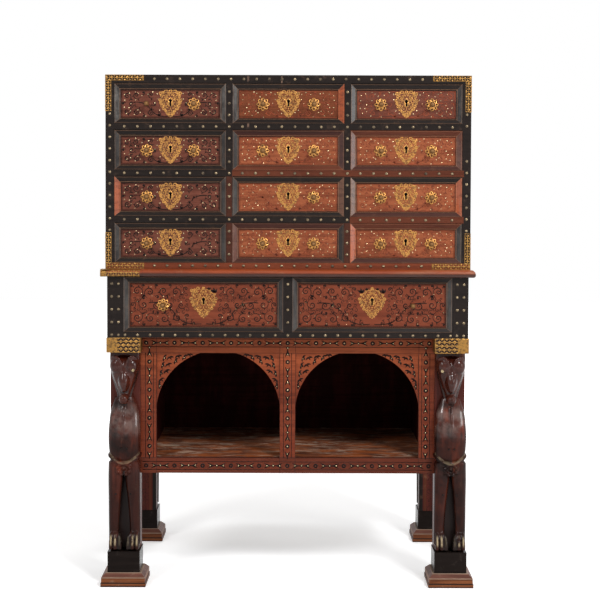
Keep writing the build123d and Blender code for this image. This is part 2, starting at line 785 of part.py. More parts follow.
def write_drawer(name, place, size, plate, key_up, knob_x, knobs, bare=()):
    """One drawer's three nodes.

    plate is the key plate's width, height and rise; knobs are the sides (-1, 1) that keep
    theirs, and bare those whose knob has no rosette.
    """
    width, height, length = size
    write(name, *[place * piece for piece in drawer_boards(width, height, length, knob_x, key_up)])
    mounts = [shield(*plate, key_up), lock_case(height, key_up)]
    for side in knobs:
        seat = 0 if side in bare else plate_t
        mounts.append(Pos(side * knob_x, 0, panel_z) * knob(seat))
        if seat:
            mounts.append(Pos(side * knob_x, 0, panel_z) * rosette())
    write(f"{name}_mounts", *[place * piece for piece in mounts])
    write(f"{name}_bolt", place * bolt(height))


lost_knobs = {("3", "left"): 1, ("4", "left"): 1, ("3", "middle"): -1}
lost_rosettes = {("1", "left"): -1}
drawer_h = bay_h - base_gap - top_gap
panel_y = cabinet_front + crest_y
drawer_size = (bay_w - 2 * side_gap, drawer_h, cabinet_back_face - back_gap - panel_y)
for row in rows:
    for column in columns:
        write_drawer(
            f"drawer_{row}_{column}",
            Pos(bay_x[column], panel_y, bay_low[row] + base_gap + drawer_h / 2),
            drawer_size,
            (shield_w, shield_h, shield_rise),
            key_rise,
            knob_out_left if column == "left" else knob_out,
            [side for side in (-1, 1) if lost_knobs.get((row, column)) != side],
            [side for side in (-1, 1) if lost_rosettes.get((row, column)) == side],
        )

stand_lost_knob = {"left": 1, "right": -1}
stand_bare_knob = {"left": (), "right": (1,)}
stand_drawer_h = stand_bay_h - base_gap - top_gap
stand_panel_y = -apron_y + crest_y
stand_drawer_size = (stand_bay_w - 2 * side_gap, stand_drawer_h, apron_in_y - back_gap - stand_panel_y)
for side_name, x in stand_bay_x.items():
    write_drawer(
        f"stand_drawer_{side_name}",
        Pos(x, stand_panel_y, stand_bay_low + base_gap + stand_drawer_h / 2),
        stand_drawer_size,
        (stand_shield_w, stand_shield_h, stand_shield_rise),
        stand_key_rise,
        stand_knob_out,
        [-stand_lost_knob[side_name]],
        stand_bare_knob[side_name],
    )
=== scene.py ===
"""Looks of a cabinet of drawers on a stand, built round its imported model.

The cabinet's joinery stays as packed and gets its woods and metals here. New pieces are the
black inlay, the brass pins, the pierced and gilt mounts, the carved guardian beasts and the
bands of the sides. Lengths are in millimetres until a mesh is made, and the front faces -Y.
"""

import logging
import math
from collections.abc import Callable
from dataclasses import dataclass, field
from enum import Enum
from functools import cache, partialmethod

import bpy
import numpy as np
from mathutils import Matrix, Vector


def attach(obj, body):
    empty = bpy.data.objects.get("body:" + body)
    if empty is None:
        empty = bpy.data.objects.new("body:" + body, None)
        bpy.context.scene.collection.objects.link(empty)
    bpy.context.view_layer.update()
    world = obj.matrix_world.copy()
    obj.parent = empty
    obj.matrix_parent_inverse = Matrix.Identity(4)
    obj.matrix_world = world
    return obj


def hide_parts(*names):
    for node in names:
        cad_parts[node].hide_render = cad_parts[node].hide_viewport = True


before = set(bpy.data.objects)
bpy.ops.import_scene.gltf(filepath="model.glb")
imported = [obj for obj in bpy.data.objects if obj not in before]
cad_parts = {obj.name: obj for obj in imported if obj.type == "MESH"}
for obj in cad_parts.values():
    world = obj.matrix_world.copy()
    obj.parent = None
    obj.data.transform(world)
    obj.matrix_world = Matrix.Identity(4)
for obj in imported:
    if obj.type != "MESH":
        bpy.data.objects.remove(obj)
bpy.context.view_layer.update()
MM = 0.001
STAND = "cabinet_on_stand"
PROUD = 0.18                 # inlay and pins stand this far above the wood
SUNK = -0.4                  # and reach this far into it
SIDES = (-1, 1)              # left and right, or rear and front
log = logging.getLogger("cabinet")
Point = tuple[float, float, float]
Colour = tuple[float, float, float]      # in linear light
Screen = tuple[int, int, int]            # 0-255, as on a screen


# ---------------------------------------------------------------- shader maths
@dataclass(frozen=True, eq=False)
class Wire:
    """A shader value, on which sums and masks are written as Python expressions.

    The signs > and < give 1 where they hold, else 0. The signs | and & give the greater and the
    less of two masks.
    """

    nodes: "Nodes"
    socket: bpy.types.NodeSocket

    def maths(self, operation: str, *others: "Wire | float") -> "Wire":
        """A Math node's value, with this one as its first input."""
        return self.nodes.add("ShaderNodeMath", dict(enumerate((self, *others))), operation=operation)

    __add__ = __radd__ = partialmethod(maths, "ADD")
    __mul__ = __rmul__ = partialmethod(maths, "MULTIPLY")
    __sub__ = partialmethod(maths, "SUBTRACT")
    __truediv__ = partialmethod(maths, "DIVIDE")
    __abs__ = partialmethod(maths, "ABSOLUTE")
    __gt__ = partialmethod(maths, "GREATER_THAN")
    __lt__ = partialmethod(maths, "LESS_THAN")
    __or__ = partialmethod(maths, "MAXIMUM")
    __and__ = partialmethod(maths, "MINIMUM")

    def __rsub__(self, other: float) -> "Wire":
        """This value taken from a number."""
        return self.nodes.add("ShaderNodeMath", {0: other, 1: self}, operation="SUBTRACT")

    def step(self, low: float, high: float) -> "Wire":
        """A smooth climb from 0 at low to 1 at high."""
        ends = {"Value": self, "From Min": low, "From Max": high, "To Min": 0.0, "To Max": 1.0}
        return self.nodes.add("ShaderNodeMapRange", ends, interpolation_type="SMOOTHSTEP", clamp=True)

    def between(self, low: float, high: float) -> "Wire":
        """1 between two values, else 0."""
        return (self > low) * (self < high)

    def near(self, place: float, reach: float) -> "Wire":
        """1 within reach of a place, else 0."""
        return abs(self - place) < reach


def linear(screen: Screen) -> Colour:
    """Linear light from screen values: v / 12.92 near black, else ((v + 0.055) / 1.055) ^ 2.4."""
    shares = [value / 255 for value in screen]
    return tuple(v / 12.92 if v <= 0.04045 else ((v + 0.055) / 1.055) ** 2.4 for v in shares)


class Nodes:
    """The node tree of a material or a world: adds nodes and hands back their outputs."""

    def __init__(self, owner: bpy.types.Material | bpy.types.World) -> None:
        """Empties the owner's tree.

        Args:
            owner: the material or world.
        """
        owner.use_nodes = True
        self.owner, self.tree = owner, owner.node_tree
        self.tree.nodes.clear()

    def add(self, kind: str, values: dict | None = None, out: int | str = 0, **settings: str | bool) -> Wire:
        """Adds a node: its settings first, then its sockets.

        Args:
            kind: the node's Blender type.
            values: each input's name or number, with a Wire, a number or a colour.
            out: which output is handed back.
            settings: the node's properties, such as its operation.
        Returns:
            That output.
        """
        node = self.tree.nodes.new(kind)
        for key, value in settings.items():
            setattr(node, key, value)
        for key, value in (values or {}).items():
            socket = node.inputs[key]
            if isinstance(value, Wire):
                self.tree.links.new(value.socket, socket)
            else:
                socket.default_value = (*value, 1.0) if socket.type == "RGBA" else value
        return Wire(self, node.outputs[out])

    def close(self, kind: str, surface: Wire) -> None:
        """Feeds a surface to an output node."""
        self.tree.links.new(surface.socket, self.tree.nodes.new(kind).inputs[0])

    def place(self) -> Wire:
        """The point in the object's own frame, in metres."""
        return self.add("ShaderNodeTexCoord", out="Object")

    def axes(self) -> tuple[Wire, Wire, Wire]:
        """The point's X, Y and Z in millimetres."""
        split = self.add("ShaderNodeSeparateXYZ", {0: self.place()}).socket.node
        return tuple(Wire(self, socket) * 1000.0 for socket in split.outputs)

    def noise(self, scale: Point | float, detail: float = 4.0, rough: float = 0.55, distortion: float = 0.0) -> Wire:
        """Fractal noise from 0 to 1, with its scale along each axis in cycles a metre.

        Args:
            scale: cycles a metre, the same or along each axis.
            detail: its octaves.
            rough: how strong the finer ones are.
            distortion: how far it is warped.
        Returns:
            The noise's value.
        """
        stretch = scale if isinstance(scale, tuple) else (scale,) * 3
        vector = self.add("ShaderNodeVectorMath", {0: self.place(), 1: stretch}, operation="MULTIPLY")
        values = {"Vector": vector, "Scale": 1.0, "Detail": detail, "Roughness": rough, "Distortion": distortion}
        return self.add("ShaderNodeTexNoise", values)

    def mix(self, share: Wire | float, first: Wire | Colour, second: Wire | Colour, blend: str = "MIX") -> Wire:
        """A colour between two: first where share is 0, second where it is 1."""
        return self.add("ShaderNodeMix", {0: share, 6: first, 7: second}, 2, data_type="RGBA", blend_type=blend)

    def layers(self, base: "Timber | Screen | Wire", *over: "tuple[Wire, Timber | Screen | Wire]") -> Wire:
        """Colours laid over a base, one after another.

        Args:
            base: the first colour.
            over: each further colour, after the mask of where it lies.
        Returns:
            The colour seen.
        """
        face, *colours = (
            colour if isinstance(colour, Wire) else linear(getattr(colour, "value", colour))
            for colour in (base, *(colour for _, colour in over))
        )
        for (mask, _), colour in zip(over, colours):
            face = self.mix(mask, face, colour)
        return face

    def bump(self, height: Wire, depth: float) -> Wire:
        """A normal from a height of 0 to 1 that is depth millimetres deep."""
        return self.add("ShaderNodeBump", {"Height": height, "Distance": depth * MM})


class Surface(Nodes):
    """A material's node tree."""

    def __init__(self, name: str) -> None:
        """Starts an empty material."""
        super().__init__(bpy.data.materials.new(name))

    def finish(self, **sockets: Wire | float | Colour) -> bpy.types.Material:
        """Adds the shader with its sockets, named with _ for a space, and hands back the material.

        Args:
            sockets: each socket's value.
        Returns:
            The material.
        """
        values = {key.replace("_", " "): value for key, value in sockets.items()}
        self.close("ShaderNodeOutputMaterial", self.add("ShaderNodeBsdfPrincipled", values))
        return self.owner


# ---------------------------------------------------------------- surfaces
class Way(Enum):
    """How a skin is turned, as the rows that carry its (x, y, z).

    The first four stand a flat skin up, its height towards that side of the object. QUARTER and
    HALF turn about Z, and MIRROR and FLIP mirror in X and in Y.
    """

    FRONT = ((1, 0, 0), (0, 0, -1), (0, 1, 0))
    REAR = ((-1, 0, 0), (0, 0, 1), (0, 1, 0))
    LEFT = ((0, 0, -1), (-1, 0, 0), (0, 1, 0))
    RIGHT = ((0, 0, 1), (1, 0, 0), (0, 1, 0))
    QUARTER = ((0, -1, 0), (1, 0, 0), (0, 0, 1))
    HALF = ((-1, 0, 0), (0, -1, 0), (0, 0, 1))
    MIRROR = ((-1, 0, 0), (0, 1, 0), (0, 0, 1))
    FLIP = ((1, 0, 0), (0, -1, 0), (0, 0, 1))

    @classmethod
    def outward(cls, side: int) -> "Way":
        """Towards the right for 1, the left for -1."""
        return cls.RIGHT if side > 0 else cls.LEFT


@dataclass
class Skin:
    """A surface: its points, and the corners of its four- and three-sided faces."""

    points: np.ndarray
    quads: np.ndarray = field(default_factory=lambda: np.zeros((0, 4), int))
    tris: np.ndarray = field(default_factory=lambda: np.zeros((0, 3), int))

    def moved(self, x: float = 0, y: float = 0, z: float = 0) -> "Skin":
        """The surface shifted by x, y and z."""
        return Skin(self.points + np.array([x, y, z]), self.quads, self.tris)

    def turned(self, way: Way) -> "Skin":
        """The surface turned a way; where that mirrors it, its faces are turned back outwards.

        Args:
            way: the way.
        Returns:
            The turned surface.
        """
        rows = np.array(way.value)
        order = round(np.linalg.det(rows))
        return Skin(self.points @ rows.T, self.quads[:, ::order], self.tris[:, ::order])


def joined(skins: list[Skin]) -> Skin:
    """Several surfaces as one.

    Args:
        skins: the surfaces.
    Returns:
        The one surface.
    """
    starts = np.cumsum([0] + [len(skin.points) for skin in skins[:-1]])
    faces = [
        np.vstack([getattr(skin, kind) + start for skin, start in zip(skins, starts)]) for kind in ("quads", "tris")
    ]
    return Skin(np.vstack([skin.points for skin in skins]), *faces)


def scattered(skin: Skin, places: np.ndarray, sizes: np.ndarray | float = 1.0) -> Skin:
    """Copies of a small surface: each point is size x point + place.

    Args:
        skin: the surface about its own origin.
        places: one row of X, Y and maybe Z for each copy.
        sizes: each copy's scale.
    Returns:
        All copies as one surface.
    """
    places = np.asarray(places, float)
    places = np.pad(places, ((0, 0), (0, 3 - places.shape[1])))
    count = len(places)
    points = skin.points[None] * (np.ones(count) * sizes)[:, None, None] + places[:, None]
    starts = (np.arange(count) * len(skin.points))[:, None, None]
    faces = [(kind[None] + starts).reshape(-1, kind.shape[1]) for kind in (skin.quads, skin.tris)]
    return Skin(points.reshape(-1, 3), *faces)


def lattice(points: np.ndarray, round_u: bool = False, round_v: bool = False) -> Skin:
    """The surface over a grid of points (u, v, 3); its faces point along du x dv.

    Args:
        points: the grid.
        round_u: joins the last row of u to the first.
        round_v: joins the last row of v to the first.
    Returns:
        The surface.
    """
    rows, columns = points.shape[:2]
    u = np.arange(rows if round_u else rows - 1)[:, None]
    v = np.arange(columns if round_v else columns - 1)[None]
    ahead_u, ahead_v = (u + 1) % rows, (v + 1) % columns
    corners = [u * columns + v, ahead_u * columns + v, ahead_u * columns + ahead_v, u * columns + ahead_v]
    quads = np.stack([np.broadcast_to(corner, (u.size, v.size)) for corner in corners], -1).reshape(-1, 4)
    return Skin(points.reshape(-1, 3), quads)


def capped(rings: np.ndarray) -> Skin:
    """A closed form through rings, each end closed by a fan about its middle.

    Args:
        rings: points (ring, around, 3); they run anticlockwise seen from the last ring.
    Returns:
        The form, its faces outwards.
    """
    count, sides = rings.shape[:2]
    skin = lattice(rings.transpose(1, 0, 2), round_u=True)
    points = np.vstack([skin.points, rings[0].mean(0), rings[-1].mean(0)])
    first = np.arange(sides) * count
    ahead, middle = np.roll(first, -1), np.full(sides, sides * count)
    last = count - 1
    fans = [np.column_stack([middle, ahead, first]), np.column_stack([middle + 1, first + last, ahead + last])]
    return Skin(points, skin.quads, np.vstack(fans))


def around(sides: int) -> np.ndarray:
    """Angles of evenly spaced points round a circle."""
    return np.linspace(0, 2 * np.pi, sides, endpoint=False)


def circle(radius: float, count: int = 14, x: float = 0, y: float = 0) -> np.ndarray:
    """Points of a circle in X and Y, anticlockwise."""
    a = around(count)
    return np.column_stack([x + radius * np.cos(a), y + radius * np.sin(a)])


def lathed(profile: list[tuple[float, float]], sides: int = 24) -> Skin:
    """A form turned about Z: each (radius, height) of its profile goes round as a ring.

    Args:
        profile: (radius, height), from below upwards.
        sides: points in each ring.
    Returns:
        The closed form.
    """
    r, z = np.array(profile, float).T[:, :, None]
    a = around(sides)
    return capped(np.stack([r * np.cos(a), r * np.sin(a), z + 0 * a], -1))


def disc(radius: float, sides: int) -> Skin:
    """A round or many-sided piece of inlay."""
    return lathed([(radius, SUNK), (radius, PROUD)], sides)


def ribbon(
    line: np.ndarray, widths: np.ndarray | float, low: float = SUNK, high: float = PROUD, closed: bool = False
) -> Skin:
    """A flat strip carried along a line in X and Y: a four-cornered section, width across and low to high in Z.

    Args:
        line: points of X and Y.
        widths: the strip's width, or one for each point.
        low: height of its underside.
        high: height of its face.
        closed: the line goes round, such as a ring's.
    Returns:
        The closed strip.
    """
    line = np.asarray(line, float)
    run = np.roll(line, -1, 0) - np.roll(line, 1, 0) if closed else np.gradient(line, axis=0)
    run /= np.maximum(np.linalg.norm(run, axis=1), 1e-9)[:, None]
    across = np.column_stack([-run[:, 1], run[:, 0]]) * (np.ones(len(line)) * widths)[:, None] / 2
    sections = ((across, high), (-across, high), (-across, low), (across, low))
    rings = np.stack([np.column_stack([line + shift, np.full(len(line), z)]) for shift, z in sections], 1)
    return lattice(rings.transpose(1, 0, 2), True, True) if closed else capped(rings)


def bar(x0: float, x1: float, y: float, width: float, low: float = SUNK, high: float = PROUD) -> Skin:
    """A straight strip along X, from x0 to x1."""
    return ribbon([[x0, y], [x1, y]], width, low, high)


def border(half_w: float, half_h: float, width: float, high: float = PROUD) -> list[Skin]:
    """Four strips round a rectangle: the lower, the right, the upper and the left one."""
    low, side = np.array([[-half_w, -half_h], [half_w, -half_h]]), np.array([[half_w, -half_h], [half_w, half_h]])
    return [ribbon(line, width, high=high) for line in (low, side, -low, -side)]


Cover = Callable[[np.ndarray, np.ndarray], np.ndarray]


def pierced(width: float, height: float, pitch: float, thick: float, cover: Cover, relief: float) -> Skin:
    """A pierced plate, from a cover function that is above 0 on metal and below 0 in its holes.

    A grid of the given pitch keeps the cells that touch metal, and its border points slide down
    the cover's slope onto the edge. The face domes by relief times the cover, the back is flat,
    and a wall joins the two.

    Args:
        width: the plate's width in X.
        height: its height in Y.
        pitch: the grid's pitch.
        thick: the plate's thickness, in Z from 0.
        cover: gives the cover, in millimetres from the nearest edge, at arrays x and y.
        relief: how far the metal domes between its edges, as a share of its cover.
    Returns:
        The closed plate, about the middle of its back.
    """
    near, share = 0.05, 0.7        # the step that finds a slope, and how much of the way a point slides
    rim, dome = 0.55, 0.45         # the face's height at an edge and the most that it domes, of the thickness
    columns, rows = int(width / pitch) + 4, int(height / pitch) + 4
    x, y = np.meshgrid(*((np.arange(n) - (n - 1) / 2) * pitch for n in (columns, rows)), indexing="ij")
    value = cover(x, y)
    kept = value[:-1, :-1] + value[1:, :-1] + value[:-1, 1:] + value[1:, 1:] > 0
    pad = np.pad(kept, 1).astype(int)
    touching = pad[:-1, :-1] + pad[1:, :-1] + pad[:-1, 1:] + pad[1:, 1:]
    border = (touching > 0) & (touching < 4)
    for _ in range(2):
        slope_x = (cover(x + near, y) - cover(x - near, y)) / (2 * near)
        slope_y = (cover(x, y + near) - cover(x, y - near)) / (2 * near)
        steep = np.maximum(slope_x**2 + slope_y**2, 0.2)
        shift = np.where(border, np.clip(-cover(x, y) / steep, -share * pitch, share * pitch), 0)
        x, y = x + shift * slope_x * share, y + shift * slope_y * share
    face = thick * rim + np.minimum(np.clip(cover(x, y), 0, None) * relief, thick * dome)
    index = np.arange(columns * rows).reshape(columns, rows)
    i, j = np.nonzero(kept)
    cells = np.column_stack([index[i, j], index[i + 1, j], index[i + 1, j + 1], index[i, j + 1]])
    total = columns * rows
    edges = np.vstack([cells[:, [k, (k + 1) % 4]] for k in range(4)])
    lone = edges[~np.isin(edges @ [total, 1], edges @ [1, total])]
    walls = np.column_stack([lone + total, lone[:, ::-1]])
    quads = np.vstack([cells, cells[:, ::-1] + total, walls])
    points = np.vstack([np.column_stack([x.ravel(), y.ravel(), z]) for z in (face.ravel(), np.zeros(total))])
    used, inverse = np.unique(quads, return_inverse=True)
    return Skin(points[used], inverse.reshape(-1, 4))


def mesh_of(name: str, skin: Skin) -> bpy.types.Mesh:
    """A mesh of a surface, in metres.

    Args:
        name: the mesh's name.
        skin: its surface, in millimetres.
    Returns:
        The mesh.
    """
    mesh = bpy.data.meshes.new(name)
    quads, tris = len(skin.quads), len(skin.tris)
    mesh.vertices.add(len(skin.points))
    mesh.vertices.foreach_set("co", (skin.points * MM).astype(np.float32).ravel())
    mesh.loops.add(4 * quads + 3 * tris)
    mesh.loops.foreach_set("vertex_index", np.concatenate([skin.quads.ravel(), skin.tris.ravel()]).astype(np.int32))
    mesh.polygons.add(quads + tris)
    starts = np.concatenate([np.arange(quads) * 4, 4 * quads + np.arange(tris) * 3])
    mesh.polygons.foreach_set("loop_start", starts.astype(np.int32))
    mesh.update(calc_edges=True)
    mesh.validate()
    return mesh


def placed(name: str, data: bpy.types.ID) -> bpy.types.Object:
    """An object of a mesh, lamp or camera, in the scene.

    Args:
        name: its name.
        data: the mesh, lamp or camera.
    Returns:
        The object.
    """
    made = bpy.data.objects.new(name, data)
    bpy.context.scene.collection.objects.link(made)
    return made


def piece(
    name: str, skins: list[Skin], material: bpy.types.Material, body: str = STAND, crisp: bool = False
) -> bpy.types.Object:
    """Makes one object of several surfaces and rides it on a body.

    Args:
        name: the piece's name.
        skins: its surfaces, in millimetres, in the object's frame.
        material: its finish.
        body: the body it moves with.
        crisp: keeps edges over 40 degrees sharp.
    Returns:
        The object.
    """
    skin = joined(skins)
    mesh = mesh_of(name, skin)
    if crisp:
        mesh.set_sharp_from_angle(angle=math.radians(40))
    mesh.materials.append(material)
    made = placed(name, mesh)
    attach(made, body)
    log.info("%s: %d faces on %s", name, len(skin.quads) + len(skin.tris), body)
    return made


def coat(name: str, material: bpy.types.Material) -> None:
    """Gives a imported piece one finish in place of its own.

    Args:
        name: the piece.
        material: its finish.
    """
    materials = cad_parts[name].data.materials
    materials.clear()
    materials.append(material)


# ---------------------------------------------------------------- finishes
class Timber(Enum):
    """The woods by the colour of their face on a screen."""

    PANEL_DARK = (104, 59, 46)
    PANEL_WARM = (143, 79, 51)
    PANEL_MID = (112, 60, 36)
    PANEL_STAND = (118, 58, 38)
    EBONY = (27, 20, 17)
    BROWN = (62, 32, 25)
    RED_BROWN = (88, 44, 28)
    GREY_BROWN = (100, 68, 52)
    ORANGE = (156, 74, 36)
    ARCADE = (114, 50, 28)
    MOULDING = (140, 62, 28)
    BASE = (128, 75, 44)
    BEAST = (72, 32, 22)
    POST = (80, 32, 24)
    TEAK = (118, 70, 44)
    SIDE = (110, 54, 40)
    INLAY = (20, 14, 12)


EBONY_RUB = (0.13, 0.10, 0.085)      # ebony where it is worn
WAX_AND_SHADE = (0.012, 0.008, 0.007)          # dark wax in joints, and painted shade in hollows, creases and under things


@dataclass(frozen=True)
class Grain:
    """How a wood's figure lies on it: streaks along one axis, clouds, worn patches and polish."""

    along: str = "X"
    contrast: float = 0.4
    worn: float = 0.25
    rough: float = 0.34
    coat: float = 0.05
    depth: float = 0.15
    shine: float = 0.11                    # specular level
    rub_and_glint: Colour = (0.30, 0.155, 0.085)     # where it is worn, and the colour of painted highlights laid through edges

    def scale(self, across: float) -> Point:
        """Cycles a metre along each axis, a thirtieth of across in the grain's own direction."""
        return tuple(across / 30 if axis == self.along else across for axis in "XYZ")

    def dress(
        self,
        n: Surface,
        face: Wire | Colour,
        edges: Wire | None = None,
        dirt_and_shade: Wire | None = None,
        polish: Wire | float = 0.0,
    ) -> bpy.types.Material:
        """Lays the figure over a face colour and fills the shader.

        Args:
            n: the material's nodes.
            face: the colour without figure, plain or by zones.
            edges: a mask of places laid pale: rubbed edges and streaks, and painted highlights.
            dirt_and_shade: a mask of dark places: wax in joints, and painted shade in hollows, creases and under
                things.
            polish: more coat, by place.
        Returns:
            The material.
        """
        pores = n.noise(self.scale(900.0), 3.0, 0.6)
        figure = n.noise(self.scale(90.0), 5.0, 0.6, 0.6)
        cloud = n.noise(9.0, 4.0, 0.6)
        rubbed = n.noise(38.0, 5.0, 0.7)
        dark = (figure.step(0.42, 0.68) * 0.75 + pores.step(0.5, 0.75) * 0.45) * self.contrast * 2
        colour = n.mix(dark, face, (0.42, 0.34, 0.32), "MULTIPLY")
        colour = n.mix(cloud.step(0.35, 0.7) * 0.5, colour, (0.68, 0.6, 0.58), "MULTIPLY")
        pale = rubbed.step(0.56, 0.78) * self.worn
        if edges is not None:
            pale = pale | edges * (0.35 + rubbed * 0.75)
        # pale wear, and painted highlights where the edges mask holds them
        colour = n.mix(pale, colour, self.rub_and_glint)
        # dark wax in joints, and painted shade where shade falls
        if dirt_and_shade is not None:
            colour = n.mix(dirt_and_shade, colour, WAX_AND_SHADE)
        height = pores.step(0.4, 0.75) * 0.5 + figure * 0.35 + rubbed * 0.3
        return n.finish(
            Base_Color=colour,
            Roughness=self.rough + cloud * 0.16 + pale * 0.2 - pores * 0.05,
            Normal=n.bump(height, self.depth),
            Coat_Weight=polish + self.coat,
            Coat_Roughness=self.rough * 0.55,
            Specular_IOR_Level=self.shine,
        )

    def wood(self, name: str, timber: Timber) -> bpy.types.Material:
        """A wood of one colour."""
        return self.dress(Surface(name), linear(timber.value))


@dataclass(frozen=True)
class Metal:
    """A metal with tarnish in patches and a beaten face."""

    bright: Screen
    dull: Screen
    rough: float = 0.34
    tarnish: float = 0.8
    patch: float = 160.0
    handled: float = -1e4         # dull in front of this Y, where hands take hold

    def build(self, name: str) -> bpy.types.Material:
        """The finished material.

        Args:
            name: the material's name.
        Returns:
            The material.
        """
        n = Surface(name)
        patches = n.noise(self.patch, 5.0, 0.7)
        specks = n.noise(self.patch * 6, 3.0, 0.6)
        age = (patches.step(0.42, 0.66) * self.tarnish + specks.step(0.55, 0.72) * 0.4 * self.tarnish) & 1.0
        age = age | (n.axes()[1] < self.handled) * 0.8
        return n.finish(
            Base_Color=n.layers(self.bright, (age, self.dull)),
            Metallic=0.9 - age * 0.35,
            Roughness=self.rough + age * 0.3,
            Normal=n.bump(patches * 0.7 + specks * 0.3, 0.25),
        )


@dataclass(frozen=True)
class Strips:
    """The woods of a drawer's mitred frame."""

    left: Timber = Timber.EBONY
    right: Timber = Timber.EBONY
    top: Timber = Timber.EBONY
    low: Timber = Timber.EBONY


@dataclass(frozen=True)
class DrawerFinish:
    """One drawer's woods: its panel, its mitred frame and the plain boards behind."""

    panel: Timber
    strips: Strips
    x: float
    z: float
    half_w: float
    half_h: float
    face_y: float
    side_w: float = 15.6          # the frame's strips: at the sides, below and above
    low_w: float = 13.0
    top_w: float = 16.0

    def build(self, name: str, large: bool) -> bpy.types.Material:
        """The material, with its zones told apart by place.

        A point belongs to the strip that it lies nearest to the outer edge of, as the mitres do.
        Distances from the outer edge are shares of a strip's width, so 1 is the panel's edge.

        Args:
            name: the material's name.
            large: it is one of the stand's drawers.
        Returns:
            The material.
        """
        n = Surface(name)
        x, y, z = n.axes()
        x, z = x - self.x, z - self.z
        across = ((x + self.half_w) / self.side_w) & ((self.half_w - x) / self.side_w)
        up = ((z + self.half_h) / self.low_w) & ((self.half_h - z) / self.top_w)
        inward = across & up
        on_side, on_frame, proud = across < up, inward < 1.0, y < self.face_y - 0.3
        # painted reflection: a grey sheen on the frame's side strips, stronger on the top row's left and middle drawers
        lit = 0.5 if self.z > 1200 and self.x < 1 else 0.2
        painted_sheen = n.noise((60.0, 60.0, 14.0), 3.0, 0.6).step(0.34, 0.6) * (x < 0.0 if self.x == 0 else 1.0)
        sides = n.layers(self.strips.left, (x > 0.0, self.strips.right))
        levels = n.layers(self.strips.low, (z > 0.0, self.strips.top))
        frame_face = n.layers(levels, (on_side, sides), (on_side * painted_sheen * lit, (112, 110, 106)))
        face = n.layers(self.panel, (on_frame & (y < self.face_y + 1), frame_face))
        flecks = n.noise((40.0, 60.0, 90.0), 4.0, 0.7).step(0.48, 0.7) * (inward > 1.0)
        face = n.mix(flecks * 0.55, face, (0.55, 0.45, 0.4), "MULTIPLY")
        face = n.layers(face, (y > self.face_y + 1.0, Timber.TEAK))
        # pale lines at mitres, crest and lip: wear, and painted highlights along crest and lip
        mitre = (abs(across - up) < 0.035) * proud
        crest, lip = inward.between(0.09, 0.16), inward.between(0.82, 0.9)
        edges = (mitre * 0.45 | crest * 0.35 | lip * 0.6) * proud
        # painted shade where the panel meets the raised frame
        seat = inward.between(0.98, 1.08) * (y > self.face_y - 0.8) * (y < self.face_y + 0.5)
        grain = Grain(contrast=0.28 if large else 0.46, worn=0.12)
        return grain.dress(n, face, edges, seat * 0.75, on_frame * on_side * 0.42)


def facing_finish() -> bpy.types.Material:
    """The cabinet's facings: ebony, with red-brown strips low down and at the right, and pale drips.

    Returns:
        The material.
    """
    sill_top, drip_end = 844.0, 1195.0                     # of the lowest strip, and where the drips stop
    rail_2, rail_3 = (1068.0, 1085.0), (948.0, 965.0)      # heights of the strips below the second and third rows
    brown_2, brown_3, stile = -145.5, 160.0, 455.0         # in X: where their brown begins, and where both end
    upright, middle = (-161.0, -145.0), 165.0              # the left upright, and half the middle column's width
    n = Surface("facing_ebony")
    x, _, z = n.axes()
    rails = (z.between(*rail_2) * (x > brown_2) | z.between(*rail_3) * (x > brown_3)) * (x < stile)
    brown = (z < sill_top) | rails | (z < rail_3[0]) * (abs(x) < middle) * 0.5
    uprights = z.between(rail_3[1] - 1.0, rail_2[0]) * x.between(*upright)
    face = n.layers(Timber.EBONY, (brown | uprights * 0.5, Timber.RED_BROWN), (z < sill_top, (114, 56, 34)))
    drips = (x.near(-17.0, 2.0) | x.near(-104.0, 2.5)) * (z > drip_end) * n.noise(45.0).step(0.4, 0.6)
    return Grain(worn=0.14, rub_and_glint=(0.2, 0.12, 0.085)).dress(n, face, drips * 0.8)


def ink(name: str, scale: float, fade: Point, first: Timber | Screen, second: Timber | Screen) -> bpy.types.Material:
    """Inlay that goes from one colour towards another in patches.

    Args:
        name: the material's name.
        scale: the patches' cycles a metre.
        fade: where the change begins and ends in the noise, and how far it goes.
        first: the main colour.
        second: the patches' colour.
    Returns:
        The material.
    """
    n = Surface(name)
    noise = n.noise(scale, 4.0, 0.6)
    colour = n.layers(first, (noise.step(*fade[:2]) * fade[2], second))
    return n.finish(Base_Color=colour, Roughness=0.4 + noise * 0.1, Specular_IOR_Level=0.1)


class Finishes:
    """Every finish that more than one piece uses."""

    def __init__(self) -> None:
        """Builds them all."""
        gilt = Metal((184, 132, 70), (80, 54, 30), rough=0.3, tarnish=0.85, handled=-274.5)
        self.gilt = gilt.build("gilt_copper")
        self.dull_gilt = Metal((152, 112, 56), (66, 46, 24)).build("gilt_worn")
        brass = Metal((196, 176, 136), (82, 62, 40), rough=0.26, patch=110.0)
        self.brass = brass.build("pin_brass")
        self.iron = Metal((96, 90, 84), (60, 42, 32), rough=0.5, tarnish=0.7).build("lock_iron")
        self.inlay = ink("inlay_ebony", 60.0, (0.5, 0.8, 0.45), Timber.INLAY, Timber.PANEL_DARK)
        self.faint = ink("inlay_faint", 80.0, (0.35, 0.7, 1.0), (100, 50, 36), (146, 70, 44))
        # painted shade: a near-black sheet where keyholes and knob holes would look dark
        hollow = Surface("keyhole_dark")
        dark = hollow.mix(hollow.noise(200.0), (0.004, 0.003, 0.003), (0.012, 0.009, 0.008))
        self.hollow = hollow.finish(Base_Color=dark, Roughness=0.8, Specular_IOR_Level=0.0)


